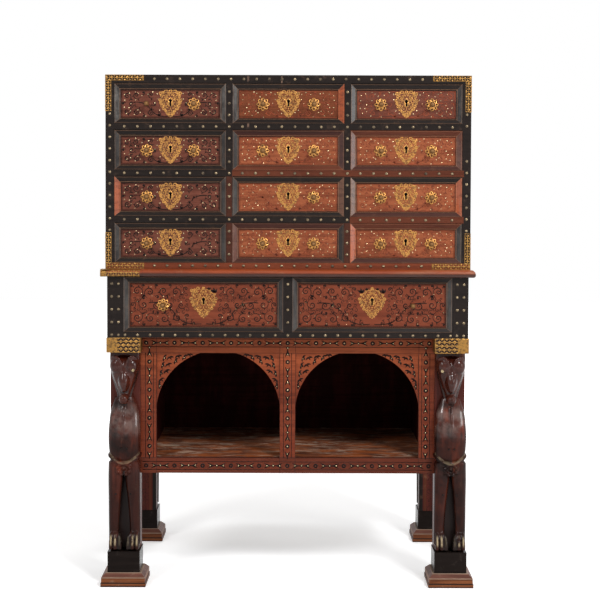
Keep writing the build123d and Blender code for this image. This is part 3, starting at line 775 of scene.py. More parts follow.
# ---------------------------------------------------------------- ornament
def spiral(x: float, y: float, radius: float, start: float, turns: float, count: int = 22) -> np.ndarray:
    """A scroll's line: its radius falls as exp(-1.9 t) while it turns from start, t from 0 to 1.

    Args:
        x: the scroll's middle in X.
        y: its middle in Y.
        radius: its outer radius.
        start: the angle where it begins, in degrees.
        turns: how many turns it makes; negative is clockwise.
        count: points on the line.
    Returns:
        The line's points.
    """
    t = np.linspace(0, 1, count)
    a = np.radians(start) + t * turns * 2 * np.pi
    r = radius * np.exp(-1.9 * t)
    return np.column_stack([x + r * np.cos(a), y + r * np.sin(a)])


def leaf(x: float, y: float, angle: float, length: float, bend: float = 0.35, width: float = 0.34) -> Skin:
    """A leaf of inlay: a curved strip whose width follows sin(pi t ^ 0.7) along it.

    Args:
        x: its foot in X.
        y: its foot in Y.
        angle: its way out, in degrees.
        length: from foot to tip.
        bend: how far it curves, in radians either way of its way out.
        width: its width as a share of its length.
    Returns:
        The leaf.
    """
    t = np.linspace(0, 1, 9)
    a = np.radians(angle) + bend * (t - 0.3) * 2
    steps = np.column_stack([np.cos(a), np.sin(a)])[1:] * (length / 8)
    line = np.array([x, y]) + np.vstack([[0, 0], np.cumsum(steps, axis=0)])
    return ribbon(line, 0.3 + width * length * np.sin(np.pi * t**0.7))


def scroll(spec: tuple[float, ...], thick: float) -> list[Skin]:
    """A scroll of inlay with a bud at its heart and leaves along its back.

    Args:
        spec: x, y, radius, start and turns of its spiral.
        thick: the stem's width.
    Returns:
        The scroll's pieces.
    """
    x, y, radius, _, turns = spec
    line = spiral(*spec)
    t = np.linspace(0, 1, len(line))
    stem = ribbon(line, thick * (0.55 + 0.75 * np.sin(np.pi * np.clip(t * 1.15, 0, 1))))
    made = [stem, disc(thick * 0.8, 8).moved(*line[-1])]
    sign = math.copysign(1, turns)
    for share, long in ((0.06, 0.62), (0.26, 0.42)):
        px, py = line[int(share * len(line))]
        out = math.degrees(math.atan2(py - y, px - x))
        made.append(leaf(px, py, out + sign * 38, radius * long, -sign * 0.5))
    return made


def both_sides(skins: list[Skin]) -> list[Skin]:
    """Skins, and their mirror images in X = 0."""
    half = joined(skins)
    return [half, half.turned(Way.MIRROR)]


def stroke_cover(lines: list[tuple[np.ndarray, float]], x: np.ndarray, y: np.ndarray) -> np.ndarray:
    """Cover of metal strokes: half the stroke's width less the distance to its line.

    Args:
        lines: each stroke's points and half its width.
        x: places in X.
        y: places in Y.
    Returns:
        The greatest cover at each place.
    """
    best = np.full(x.shape, -50.0)
    for line, half in lines:
        start, run = line[:-1], np.diff(line, axis=0)
        px, py = x[..., None] - start[:, 0], y[..., None] - start[:, 1]
        t = np.clip((px * run[:, 0] + py * run[:, 1]) / np.maximum((run**2).sum(1), 1e-9), 0, 1)
        away = np.hypot(px - t * run[:, 0], py - t * run[:, 1]).min(-1)
        best = np.maximum(best, half - away)
    return best


@dataclass(frozen=True)
class KeyPlate:
    """A lobed shield of pierced scrolls with an oval boss round its keyhole."""

    width: float = 62.0
    height: float = 72.0
    rise: float = 0.7             # its middle above the panel's middle
    key: float = 8.5              # keyhole above the panel's middle
    broken: tuple[Point, ...] = ()     # (x, y, radius) of the lobes that are lost

    def edge(self) -> np.ndarray:
        """The rim's lobes for the right half, as (x, y, radius): three on the crown, an ear, and a waisted tip.

        Returns:
            One row for each lobe.
        """
        lobes = [
            (0, 33, 4.4), (12.5, 33, 4.6), (20, 29.5, 3.6), (27, 28, 4.4), (24.5, 19.5, 3.8),
            (28.6, 9.5, 4.2), (26.6, 1.5, 3.6), (23, -6, 4.2), (18.8, -13.5, 4.0), (12.5, -19, 3.6),
            (8.4, -25.6, 3.6), (4.2, -31, 3.0), (0, -34.6, 2.0),
        ]
        return np.array(lobes) * [self.width / 66, self.height / 74, 1]

    def strokes(self) -> list[tuple[np.ndarray, float]]:
        """The net between the rim and the boss, for the right half: a curl at each place of a staggered grid.

        Returns:
            Each stroke's line and half its width.
        """
        lines = []
        for row in range(-5, 6):
            for column in range(5):
                x, y = (column + 0.5 * (row % 2)) * 7.5, row * 6.8 + 1.5
                turn = 1.15 if (row + column) % 2 else -1.15
                lines.append((spiral(x, y, 4.9, 90 + 75 * row + 40 * column, turn, 10), 0.68))
        return lines + [(circle(r - 1.1, 12, cx, cy)[np.r_[:12, 0]], 0.7) for cx, cy, r in self.edge()]

    def cover(self, x: np.ndarray, y: np.ndarray) -> np.ndarray:
        """Metal where rim, scrolls or boss lie inside the outline, but not in the keyhole.

        The outline, out, is the distance inside the shield: the greatest of its field's and its lobes'.

        Args:
            x: places in X.
            y: places in Y.
        Returns:
            The cover at each place.
        """
        edge, side, up = self.edge(), np.abs(x), y + self.rise - self.key
        half = np.interp(y, edge[:2:-1, 1], edge[:2:-1, 0] - 1.5)
        out = (np.where(np.abs(y) > edge[1, 1] - 1.5, -9.0, half) - side) * 0.8
        for cx, cy, r in edge:
            out = np.maximum(out, r - np.hypot(side - cx, y - cy))
        for bx, by, lost in self.broken:
            out = np.minimum(out, np.hypot(x - bx, y - by) - lost)
        boss = 1.0 - np.hypot(side / 6.6, (up + 3.6) / 11.5)
        metal = np.maximum(0.8 - np.abs(out - 0.9), stroke_cover(self.strokes(), side, y))
        metal = np.minimum(np.maximum(metal, boss * 7), out)
        hole = np.minimum(np.hypot(x, up) - 4.1, np.maximum(side - 2.3, np.maximum(-up - 13.5, up)))
        return np.minimum(metal, hole)

    @cache
    def skin(self) -> Skin:
        """The plate, its back on the panel and its middle at the panel's middle."""
        return pierced(self.width + 2, self.height + 2, 0.7, 1.2, self.cover, 0.5).moved(y=self.rise)

    def keyhole(self) -> list[Skin]:
        """A near-black sheet of painted shade for the keyhole behind the plate: a round above a slot."""
        return [disc(4.4, 16).moved(y=self.key), ribbon([[0, self.key], [0, self.key - 14]], 5.2)]


def rosette(radius: float = 17.0) -> Skin:
    """An eight-petalled pierced plate, cupped: its rise is 3.2 sin(pi r / R) above the wood.

    Args:
        radius: R, its outer radius.
    Returns:
        The plate, about its middle.
    """

    def cover(x: np.ndarray, y: np.ndarray) -> np.ndarray:
        """Rings side by side round a middle ring, with a bead between the outermost.

        Args:
            x: places in X.
            y: places in Y.
        Returns:
            The cover there.
        """
        r, a = np.hypot(x, y), np.arctan2(y, x)
        lobe = (np.mod(a * 8 / (2 * np.pi) + 0.5, 1) - 0.5) * 2 * np.pi / 8
        px, py = r * np.cos(lobe), r * np.sin(lobe)
        petal = 0.06 * radius - np.abs(np.hypot((px - 0.70 * radius) * 0.85, py) - 0.2 * radius)
        tip = 0.07 * radius - np.hypot(px - 0.93 * radius, py)
        inner = 0.07 * radius - np.abs(r - 0.36 * radius)
        return np.maximum(np.maximum(petal, tip), inner)

    skin = pierced(2 * radius + 2, 2 * radius + 2, 0.75, 1.3, cover, 0.6)
    r = np.hypot(skin.points[:, 0], skin.points[:, 1]) / radius
    skin.points[:, 2] += 3.2 * np.sin(np.pi * np.clip(r, 0, 1)) + 1.0 * np.clip(r - 0.8, 0, 1)
    return skin


def knob(reach: float) -> Skin:
    """A ball on a waisted stem with a collar: (radius, height) turned about the axis, with its shank.

    Args:
        reach: the ball's top above the wood.
    Returns:
        The knob, along Z.
    """
    profile = [(4.5, -15.4), (4.4, -14.2), (2.0, -14.0), (2.0, 0.4), (5.5, 0.6), (5.4, 2.6), (4.6, 3.6), (3.0, 4.6)]
    ball = [(6.6 * math.cos(t), reach - 6.6 + 6.6 * math.sin(t)) for t in np.linspace(-1.15, 1.5, 12)]
    return lathed([*profile, (2.7, 7.0), *ball, (0.3, reach)], 20)


def pins(places: np.ndarray, sizes: np.ndarray | float = 1.0, radius: float = 1.2) -> Skin:
    """Heads of pins, each a small dome of that radius times its size, at places of X and Y."""
    return scattered(lathed([(radius, -0.5), (radius, 0.12), (radius * 0.62, 0.42)], 8), places, sizes)


# ---------------------------------------------------------------- drawers
class Column(Enum):
    """The cabinet's columns of drawers, by the place of their middle."""

    LEFT = -305.6667
    MIDDLE = 0.0
    RIGHT = 305.6667


ROW_LOW = {1: 1204.75, 2: 1084.5, 3: 964.25, 4: 844.0}     # lower edges of the drawers' bays
GAP = 0.3                                                  # below a drawer and above it
SMALL_PINS = (
    (117.8, 23.3), (105.9, 26.9), (89.9, 31.2), (82, 27.3), (74, 20.3), (44.6, 30.6), (34.2, 25.7), (57.7, 24.3),
    (118.4, 9.8), (89.9, 10.7), (33.2, 12.9), (40.2, 2.4), (102.5, -0.2), (119.4, -8.2), (107.3, -9.6), (102.9, -18.5),
    (113.2, -23.5), (85, -15.9), (78.4, -21.1), (92.3, -29.1), (64.7, -31.8), (26.9, -16.1), (17.7, -23.1),
)
SMALL_SCROLLS = (
    # x, y, radius, start, turns: the right half of a small panel
    (112, 20, 12.5, 250, -1.5), (88, 22, 11.5, 210, 1.5), (112, -19, 12.5, 110, 1.5), (86, -22, 11, 150, -1.5),
    (50, 24, 10.5, 230, 1.4), (50, -24, 10.5, 130, -1.4), (100, 1, 9.5, 180, 1.4), (42, 1, 7.5, 0, -1.3),
    (30, -27, 6.5, 60, 1.3), (70, 29, 5.5, 300, -1.2), (69, -30, 5.5, 60, 1.2), (122, 1, 5, 180, -1.1),
)
STAND_SCROLLS = (
    (172, 36, 17, 250, -1.6), (140, 33, 17, 290, 1.6), (104, 36, 16, 200, 1.6), (72, 34, 15, 240, -1.6),
    (172, -33, 17, 110, 1.6), (138, -35, 16, 150, -1.6), (102, -36, 15, 60, 1.6), (68, -33, 15, 120, -1.6),
    (156, 1, 15, 60, -1.5), (122, -1, 14, 180, 1.5), (88, 0, 13, 30, -1.4), (184, 1, 10, 270, -1.4),
    (58, -1, 11, 200, 1.4), (46, 42, 9, 270, 1.3), (42, -28, 9, 250, 1.3), (122, 50, 6, 270, 1.2),
    (88, 51, 5.5, 270, -1.2), (156, 50, 6, 270, 1.2), (120, -51, 6, 90, 1.2), (86, -50, 6, 90, -1.2),
    (154, -50, 6, 90, -1.2), (186, 50, 5, 200, 1.0), (186, -50, 5, 160, -1.0), (26, -46, 8, 90, -1.2),
    (52, -50, 5.5, 90, 1.2), (120, 20, 6, 0, 1.2), (120, -20, 6, 0, -1.2), (155, 18, 5, 90, -1.2),
)
STAND_PINS = (
    (181, 32), (160, 30), (136, 47), (112, 42), (80, 46), (54, 33), (76, 25), (172, 8), (154, -2), (133, 24), (103, 22),
    (58, 8), (84, -10), (186, -20), (165, -28), (147, -27), (118, -30), (90, -30), (65, -24), (48, -32), (168, -47),
    (118, -48), (64, -50), (26, -50), (104, 0),
)


@dataclass(frozen=True)
class Drawer:
    """The dress of one drawer: its inlay, pins, key plate, rosettes, knobs, lock and finish.

    Its own frame has the panel's middle at the origin, X right, Y up and Z out of the face.
    """

    name: str
    finish: DrawerFinish
    half_w: float                 # of the panel
    half_h: float
    plate: KeyPlate
    knob_x: float
    knobs: tuple[int, ...]        # sides that keep their knob
    bare: tuple[int, ...]         # sides whose knob has no rosette
    scrolls: tuple
    pins: tuple
    large: bool                   # one of the stand's two
    strong: bool                  # the inlay reads black, not faint

    @property
    def z(self) -> float:
        """The panel's middle, below the drawer's as the upper strip is the wider."""
        return self.finish.z - (self.finish.top_w - self.finish.low_w) / 2

    @property
    def lost(self) -> list[int]:
        """Sides whose knob is lost."""
        return [side for side in SIDES if side not in self.knobs]

    def stand(self, skins: list[Skin]) -> list[Skin]:
        """Skins in the panel's frame, stood up in their place."""
        return [joined(skins).turned(Way.FRONT).moved(self.finish.x, self.finish.face_y, self.z)]

    def vine(self) -> list[Skin]:
        """The stem that rises from under the key plate: a cubic through the half panel's low middle.

        Returns:
            The stem and its leaves.
        """
        t = np.linspace(0, 1, 40)[:, None]
        a, b, c, d = np.array([[0.03, -0.86], [0.5, -1.0], [0.3, 0.25], [0.74, 0.1]]) * [self.half_w, self.half_h]
        line = (1 - t) ** 3 * a + 3 * t * (1 - t) ** 2 * b + 3 * t**2 * (1 - t) * c + t**3 * d
        skins = [ribbon(line, 1.9 + 0.5 * np.sin(9 * t[:, 0]))]
        for share in (0.2, 0.34, 0.48, 0.62, 0.78):
            x, y = line[int(share * 39)]
            pair = ((70, 0.16, 0.6), (-60, 0.14, -0.6))
            skins += [leaf(x, y, angle, long * self.half_h, bend, 0.22) for angle, long, bend in pair]
        return skins

    def fillers(self) -> list[Skin]:
        """Small curls wherever the scrolls leave room, on a jittered grid.

        Returns:
            The curls of the right half.
        """
        rng = np.random.default_rng(7)
        taken = np.array(self.scrolls)[:, :3]
        made = []
        for x in np.arange(44, self.half_w - 5, 7.5):
            for y in np.arange(8 - self.half_h, self.half_h - 6, 7.5):
                px, py = (x, y) + rng.normal(0, 0.8, 2)
                start, turn = rng.uniform(0, 360), rng.choice([-1.1, 1.1])
                room = (np.hypot(taken[:, 0] - px, taken[:, 1] - py) - taken[:, 2]).min()
                if room > 2.2:
                    size = min(room + 2.6, 7.2)
                    made.append(ribbon(spiral(px, py, size, start, turn, 14), 1.25))
                    taken = np.vstack([taken, [px, py, size]])
        return made

    def ghosts(self) -> list[Skin]:
        """The dark stain where a lobe of the key plate is lost: three flames from each break.

        Returns:
            The flames.
        """
        rise = self.plate.rise
        breaks = [(x, y + rise - 0.8 * r, a, 1.3 * r) for x, y, r in self.plate.broken for a in (45, 90, 135)]
        return [leaf(*spec, 0.4, 0.42) for spec in breaks]

    def inlay(self) -> list[Skin]:
        """Scrolls, vine, two border lines and stains, and on the stand's drawers the fillers too.

        Returns:
            The inlay, in place.
        """
        half = [strip for spec in self.scrolls for strip in scroll(spec, 2.0 if self.strong else 1.6)]
        half += self.vine() + (self.fillers() if self.large else [])
        borders = [
            line for inset, width in ((2.6, 1.0), (4.6, 0.6))
            for line in border(self.half_w - inset, self.half_h - inset, width, PROUD * 0.8)
        ]
        return self.stand([joined(both_sides(half)), *borders, *self.ghosts()])

    def pin_heads(self) -> list[Skin]:
        """The pins, mirrored about the middle, and a ring of small ones where a rosette is lost.

        Returns:
            The heads, in place.
        """
        rng = np.random.default_rng(len(self.name) + int(self.z) + int(self.finish.x))
        right = np.array(self.pins, float)
        places = np.vstack([right, right * [-1, 1]])
        places += rng.normal(0, 0.7, places.shape)
        inside = (np.abs(places) < [self.half_w - 4, self.half_h - 3]).all(1)
        places = places[inside & (rng.random(len(places)) >= 0.06)]
        heads = [pins(places, rng.uniform(0.85, 1.25, len(places)) * (0.72 if self.large else 1.0))]
        if self.lost and (self.large or self.name == "drawer_3_middle"):
            ring = (6.5, 9) if self.large else (18, 22)
            heads.append(pins(circle(*ring, self.lost[0] * self.knob_x, 0), radius=0.6))
        return self.stand(heads)

    def gilt_mounts(self, flower: Skin) -> list[Skin]:
        """Key plate, rosettes and knobs.

        Args:
            flower: the rosette, in its own frame.
        Returns:
            The mounts, in place.
        """
        skins = [self.plate.skin()]
        for side in self.knobs:
            lift = 0.0 if side in self.bare else 0.6
            skins.append(knob(24.0 - lift).moved(side * self.knob_x, 0, lift))
            skins += [flower.moved(side * self.knob_x)] * (side not in self.bare)
        return self.stand(skins)

    def lock_case(self) -> list[Skin]:
        """The iron lock behind the front: five plates, open at the top, with the bolt's channel between them.

        Returns:
            The plates, in place.
        """
        top = self.finish.z + self.finish.half_h - self.z - GAP
        low = top - 62.0
        front, back, sheet, channel, half = -14.0, -23.0, 2.2, 8.3, 28
        inner = (back + sheet, front - sheet)
        plates = [
            (-half, half, low, top, front - sheet, front),
            (-half, half, low, top, back, back + sheet),
            (-half, -channel, low, top, *inner),
            (channel, half, low, top, *inner),
            (-channel, channel, low, low + sheet, *inner),
        ]
        return self.stand([bar(x0, x1, (y0 + y1) / 2, y1 - y0, z0, z1) for x0, x1, y0, y1, z0, z1 in plates])

    def build(self, finishes: Finishes, flower: Skin) -> None:
        """Makes the pieces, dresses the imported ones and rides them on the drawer.

        Args:
            finishes: the shared finishes.
            flower: the rosette, in its own frame.
        """
        name = self.name
        coat(name, self.finish.build(f"{name}_wood", self.large))
        coat(f"{name}_bolt", finishes.iron)
        piece(f"{name}_inlay", self.inlay(), finishes.inlay if self.strong else finishes.faint, name)
        piece(f"{name}_pins", self.pin_heads(), finishes.brass, name, crisp=True)
        # sheets of painted shade for the keyhole and the lost knobs' holes
        holes = self.plate.keyhole() + [disc(2.2, 12).moved(side * self.knob_x) for side in self.lost]
        piece(f"{name}_keyhole", self.stand(holes), finishes.hollow, name)
        mounts = piece(f"{name}_gilt", self.gilt_mounts(flower), finishes.gilt, name, crisp=True)
        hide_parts(f"{name}_mounts")
        piece(f"{name}_lock_case", self.lock_case(), finishes.iron, name)


@dataclass(frozen=True)
class Drawers:
    """All fourteen drawers."""

    lost_knobs: tuple = ((3, Column.LEFT, 1), (4, Column.LEFT, 1), (3, Column.MIDDLE, -1))

    def strips(self, row: int, column: Column) -> Strips:
        """The woods of one drawer's mitred frame.

        Args:
            row: the drawer's row, from above.
            column: its column.
        Returns:
            The four woods.
        """
        ebony, brown, orange, dark, grey = (
            Timber.EBONY, Timber.RED_BROWN, Timber.ORANGE, Timber.BROWN, Timber.GREY_BROWN
        )
        own = {
            (3, Column.LEFT): Strips(left=orange),
            (1, Column.MIDDLE): Strips(right=orange),
            (2, Column.MIDDLE): Strips(ebony, dark, dark, brown),
            (3, Column.MIDDLE): Strips(right=grey),
            (4, Column.MIDDLE): Strips(brown, ebony, dark, dark),
            (2, Column.RIGHT): Strips(brown, brown, brown, dark),
            (3, Column.RIGHT): Strips(grey, orange, ebony, dark),
            (4, Column.RIGHT): Strips(orange, ebony, brown, dark),
        }
        return own.get((row, column), Strips())

    def small(self, row: int, column: Column) -> Drawer:
        """One of the cabinet's drawers.

        Args:
            row: its row, from above.
            column: its column.
        Returns:
            The drawer.
        """
        left = column is Column.LEFT
        own = {(1, Column.RIGHT): Timber.PANEL_DARK, (1, Column.MIDDLE): Timber.PANEL_MID}
        panel = Timber.PANEL_DARK if left else own.get((row, column), Timber.PANEL_WARM)
        width, height = 289.27, 102.95
        middle = ROW_LOW[row] + GAP + height / 2
        return Drawer(
            f"drawer_{row}_{column.name.lower()}",
            DrawerFinish(panel, self.strips(row, column), column.value, middle, width / 2, height / 2, -264.0),
            129.05, 36.975, KeyPlate(), 61.0 if left else 66.0,
            tuple(side for side in SIDES if (row, column, side) not in self.lost_knobs),
            (-1,) if left and row == 1 else (), SMALL_SCROLLS, SMALL_PINS, large=False, strong=left,
        )

    def large(self, side: int) -> Drawer:
        """One of the stand's two drawers: each keeps its outer knob, the right one without a rosette.

        Args:
            side: -1 for the left one, 1 for the right one.
        Returns:
            The drawer.
        """
        breaks = [(28, 34, 10), (14, 38, 5.5)]         # an ear and the crown's lobe beside it
        if side > 0:
            breaks += [(-x, y, r) for x, y, r in breaks]
        width, height = 415.6, 143.2
        middle = 663.5 + GAP + height / 2
        return Drawer(
            "stand_drawer_left" if side < 0 else "stand_drawer_right",
            DrawerFinish(Timber.PANEL_STAND, Strips(), side * 219.0, middle, width / 2, height / 2, -269.5),
            192.2, 57.1, KeyPlate(75.0, 83.0, 6.3, 15.0, tuple(breaks)), 105.0,
            (side,), (1,), STAND_SCROLLS, STAND_PINS, large=True, strong=True,
        )

    def build(self, finishes: Finishes) -> None:
        """Builds every drawer's dress.

        Args:
            finishes: the shared finishes.
        """
        flower = rosette()
        made = [self.small(row, column) for row in ROW_LOW for column in Column] + [self.large(side) for side in SIDES]
        for drawer in made:
            drawer.build(finishes, flower)


# ---------------------------------------------------------------- guardian beasts
def through(rows: list[tuple[float, ...]], fine: int) -> np.ndarray:
    """A Catmull-Rom curve through rows of numbers, with fine steps between two rows.

    Args:
        rows: the numbers at each key place.
        fine: steps between neighbours.
    Returns:
        The rows in between, too.
    """
    keys = np.asarray(rows, float)
    pad = np.vstack([2 * keys[0] - keys[1], keys, 2 * keys[-1] - keys[-2]])
    t = (np.arange(fine) / fine)[None, :, None]
    a, b, c, d = pad[:-3, None], pad[1:-2, None], pad[2:-1, None], pad[3:, None]
    inner = 0.5 * (2 * b + (c - a) * t + (2 * a - 5 * b + 4 * c - d) * t**2 + (3 * b - a - 3 * c + d) * t**3)
    return np.vstack([inner.reshape(-1, keys.shape[1]), keys[-1:]])


def lofted(rows: list[tuple[float, ...]], back: float, power: float, sides: int = 28) -> Skin:
    """A form through level rings: each is |x/a|^p + |y/b|^p = 1 about its own middle.

    Args:
        rows: height, half width, front in Y and maybe the middle in X, from below upwards.
        back: the rings' back in Y.
        power: p, above 2 for squarer rings.
        sides: points in each ring.
    Returns:
        The closed form.
    """
    z, half, front, *rest = through(rows, 6).T[:, :, None]
    x = rest[0] if rest else 0.0
    c, s = np.cos(around(sides)), np.sin(around(sides))
    px = x + half * np.sign(c) * np.abs(c) ** (2 / power)
    py = (front + back) / 2 + (back - front) / 2 * np.sign(s) * np.abs(s) ** (2 / power)
    return capped(np.stack([px, py, z + 0 * px], -1))


def egg(at: Point, radii: Point) -> Skin:
    """An ellipsoid, its poles on the Z axis.

    Args:
        at: its middle.
        radii: its radii along X, Y and Z.
    Returns:
        The closed form.
    """
    (x, y, z), (rx, ry, rz) = at, radii
    t = np.linspace(-np.pi / 2 + 0.15, np.pi / 2 - 0.15, 12)[:, None]
    a = around(18)
    rings = [x + rx * np.cos(t) * np.cos(a), y + ry * np.cos(t) * np.sin(a), z + rz * np.sin(t) + 0 * a]
    return capped(np.stack(rings, -1))


def bent(points: list[tuple[float, ...]], flat: float = 1.0) -> Skin:
    """A tube along a Catmull-Rom curve: each ring is the curve's point plus r (cos a, flat sin a) across it.

    Args:
        points: x, y, z and the radius r at each key place.
        flat: the ring's second radius as a share of its first.
    Returns:
        The closed tube.
    """
    rows = through(points, 5)
    path, r = rows[:, :3], rows[:, 3, None, None]
    run = np.gradient(path, axis=0)
    run /= np.linalg.norm(run, axis=1)[:, None]
    side = np.cross(run, np.where(np.abs(run[:, 2:3]) > 0.95, [[1.0, 0, 0]], [[0, 0, 1.0]]))
    side /= np.linalg.norm(side, axis=1)[:, None]
    lift = np.cross(side, run)
    a = around(12)[None, :, None]
    return capped(path[:, None] + r * (np.cos(-a) * side[:, None] + flat * np.sin(-a) * lift[:, None]))


def fused(skin: Skin, voxel: float, rounds: int) -> Skin:
    """Several overlapping forms as one closed skin.

    A voxel remesh keeps the outside of the forms, and then each point moves half way to the mean
    of its neighbours, a few times over.

    Args:
        skin: the forms, each closed.
        voxel: the remesh's cell, in millimetres.
        rounds: how often the points are eased.
    Returns:
        The one skin.
    """
    helper = placed("forms", mesh_of("forms", skin))
    remesh = helper.modifiers.new("union", "REMESH")
    remesh.mode, remesh.voxel_size = "VOXEL", voxel * MM
    ease = helper.modifiers.new("ease", "SMOOTH")
    ease.factor, ease.iterations = 0.5, rounds
    done = bpy.data.meshes.new_from_object(helper.evaluated_get(bpy.context.evaluated_depsgraph_get()))

    def read(items: bpy.types.bpy_prop_collection, key: str, kind: type, width: int = 1) -> np.ndarray:
        """One property of a mesh's points, corners or faces.

        Args:
            items: the points, corners or faces.
            key: the property.
            kind: the numbers' type.
            width: numbers in each item.
        Returns:
            The numbers in a row.
        """
        values = np.empty(len(items) * width, kind)
        items.foreach_get(key, values)
        return values

    points = read(done.vertices, "co", np.float32, 3).reshape(-1, 3).astype(float) / MM
    corners = read(done.loops, "vertex_index", np.int32).astype(int)
    totals = read(done.polygons, "loop_total", np.int32)
    starts = np.cumsum(totals) - totals
    quads, tris = (corners[starts[totals == count][:, None] + np.arange(count)] for count in (4, 3))
    spent = [helper.data, done]
    bpy.data.objects.remove(helper)
    for mesh in spent:
        bpy.data.meshes.remove(mesh)
    return Skin(points, quads, tris)


@dataclass(frozen=True)
class GuardianBeast:
    """A seated hound-like beast with its back to a post, facing -Y about the leg's axis.

    Heights are from the floor: paws from 89 to 133, legs to 320, belt, chest to 470, head to 610.
    """

    back: float = 3.0
    voxel: float = 1.9

    def head(self) -> list[Skin]:
        """Skull, and in front of it a face like a shield, with brows, snout and chin.

        Returns:
            Its forms.
        """
        skull = [
            (468, 15, -16), (485, 18.5, -18), (505, 23, -19), (530, 30, -19), (560, 37.5, -19), (588, 39.5, -18),
            (609.4, 38.5, -17),
        ]
        face = [
            (479, 9, -30), (490, 12, -31), (503, 15, -31), (515, 19.5, -32), (530, 25, -34), (548, 31, -37),
            (565, 34.5, -38), (580, 34, -35), (590, 30, -29), (598, 22, -20),
        ]
        snout = [
            (505, 5, -36), (510, 9, -43), (519, 12.5, -48), (529, 15.5, -49.9), (538, 16.5, -49), (548, 16.5, -45.2),
            (556, 15, -41.5), (561, 11, -36),
        ]
        brow = [
            (37, -12, 578, 2.0), (33, -24, 592, 3.4), (21, -34, 598, 4.0), (11, -37, 590, 4.0), (4.5, -36, 574, 3.0),
        ]
        chin = egg((0, -33, 487), (13.5, 16, 14))
        forms = [lofted(skull, self.back, 2.8), lofted(face, 0, 2.1), lofted(snout, 0, 2.0), chin]
        for side in SIDES:
            forms += [egg((side * 18, -24, 574), (19.5, 19, 23)), bent([(side * x, *rest) for x, *rest in brow])]
        return forms

    def chest(self) -> list[Skin]:
        """Torso with shoulders, a ridge down its middle and the belly above the belt.

        Returns:
            Its forms.
        """
        torso = [
            (312, 37, -33), (332, 38, -36), (362, 41, -42), (395, 41.8, -45), (425, 40, -42), (450, 37, -35),
            (470, 31, -28), (490, 25, -21),
        ]
        ridge = [(0, -33, 466, 2.0), (0.5, -41, 440, 2.4), (1.5, -45, 410, 2.0), (1, -44.5, 380, 1.5)]
        return [lofted(torso, self.back, 2.25, 36), bent(ridge), egg((0, -30, 397), (31, 16.2, 46))]

    def sash(self) -> list[Skin]:
        """A belt that dips in front, and its knot of lobes.

        Returns:
            Its forms.
        """
        half = [(41, 2, 340), (40.5, -18, 337), (30, -34, 331), (14, -42, 323), (0, -44, 319)]
        belt = [(-x, y, z, 2.9) for x, y, z in half] + [(*point, 2.9) for point in half[-2::-1]]
        pairs = ((9, 316, 5.2), (16, 309, 5.0), (13.5, 298, 5.2), (5, 292, 5.0))
        lobes = [(0, 307, 5.0)] + [(side * x, z, r) for x, z, r in pairs for side in SIDES]
        knot = [egg((0, -33, 307), (18, 7.5, 17)), *(egg((x, -40, z), (r, 6.4, r)) for x, z, r in lobes)]
        return [bent(belt, 1.5), *knot]

    def legs(self) -> list[Skin]:
        """Two straight forelegs with thigh, knee and shin.

        Returns:
            Its forms.
        """
        rows = [
            (104, 14.5, -27, 27.0), (122, 14, -26, 27.6), (150, 14.4, -28, 27.4), (185, 15.4, -31, 26.5),
            (215, 16.6, -34, 25.2), (245, 18.2, -37, 23.8), (280, 20.4, -39.5, 21.8), (322, 20.8, -38, 20.8),
        ]
        return [lofted([(*rest, side * x) for *rest, x in rows], self.back, 2.3) for side in SIDES]

    def paws(self) -> list[Skin]:
        """Broad paws with three round toes each.

        Returns:
            Its forms.
        """
        body = [(89.3, 16, -26, 22.5), (98, 16, -27, 22.5), (112, 15, -26, 24.5), (130, 13.8, -25, 27.2)]
        forms = []
        for side in SIDES:
            forms.append(lofted([(*rest, side * x) for *rest, x in body], self.back, 2.6))
            middle = side * 22.5
            for x in (-11.8, 0, 11.8):
                toe = [
                    (middle + side * 3.5 + x * 0.6, -24, 138, 3.0), (middle + side * 1.5 + x * 0.85, -33, 127, 4.4),
                    (middle + x, -38.5, 110, 4.9), (middle + x * 1.03, -38.4, 94.2, 4.8),
                ]
                forms.append(bent(toe))
        return forms

    def skin(self) -> Skin:
        """The whole beast about its leg's axis, eased into one skin."""
        forms = self.head() + self.chest() + self.sash() + self.legs() + self.paws()
        return fused(joined(forms), self.voxel, 3)

    def finish(self, leg_x: float) -> bpy.types.Material:
        """Dark rosewood, darker on the legs and low on the chest, with painted highlights on belt and toes, dust and a
        painted highlight on the chest, and painted shade in its creases.

        Args:
            leg_x: the legs' axes, either side of the middle.
        Returns:
            The material.
        """
        n = Surface("dark_rosewood")
        x, _, z = n.axes()
        cloudy = n.noise(24.0, 4.0, 0.65)
        aside = abs(abs(x) - leg_x)
        chest = z.step(378, 424) * (1.0 - z.step(452, 482))
        head = z.step(470, 500)
        face = n.layers(
            Timber.BEAST,
            (n.noise(13.0, 4.0, 0.6, 0.4).step(0.42, 0.6), (30, 16, 13)),
            (n.noise((40.0, 40.0, 9.0), 3.0, 0.5).step(0.5, 0.72) * 0.8, (122, 54, 34)),
            ((1.0 - z.step(280, 330)) * 0.65, (38, 19, 15)),
            ((1.0 - z.step(356, 404)) * (z > 326.0) * 0.55, (34, 17, 13)),
            # dust, and a painted highlight, greying the chest
            (chest * cloudy.step(0.36, 0.62) * 0.5, (116, 97, 90)),
            (head * 0.7, (66, 27, 17)),
        )
        # painted highlights: pale gold on the toes' ridges, and a pale line along the belt
        ridges = aside.near(11.2, 2.4) | aside.near(22.8, 2.4) | aside.near(34.0, 2.2)
        toes = (1.0 - z.step(122, 134)) * z.step(100, 112) * ridges * n.noise(45.0).step(0.34, 0.52)
        sash = (abs(z - (aside * aside * 0.0151 + 322.0)) < 3.6) * n.noise(60.0).step(0.35, 0.6)
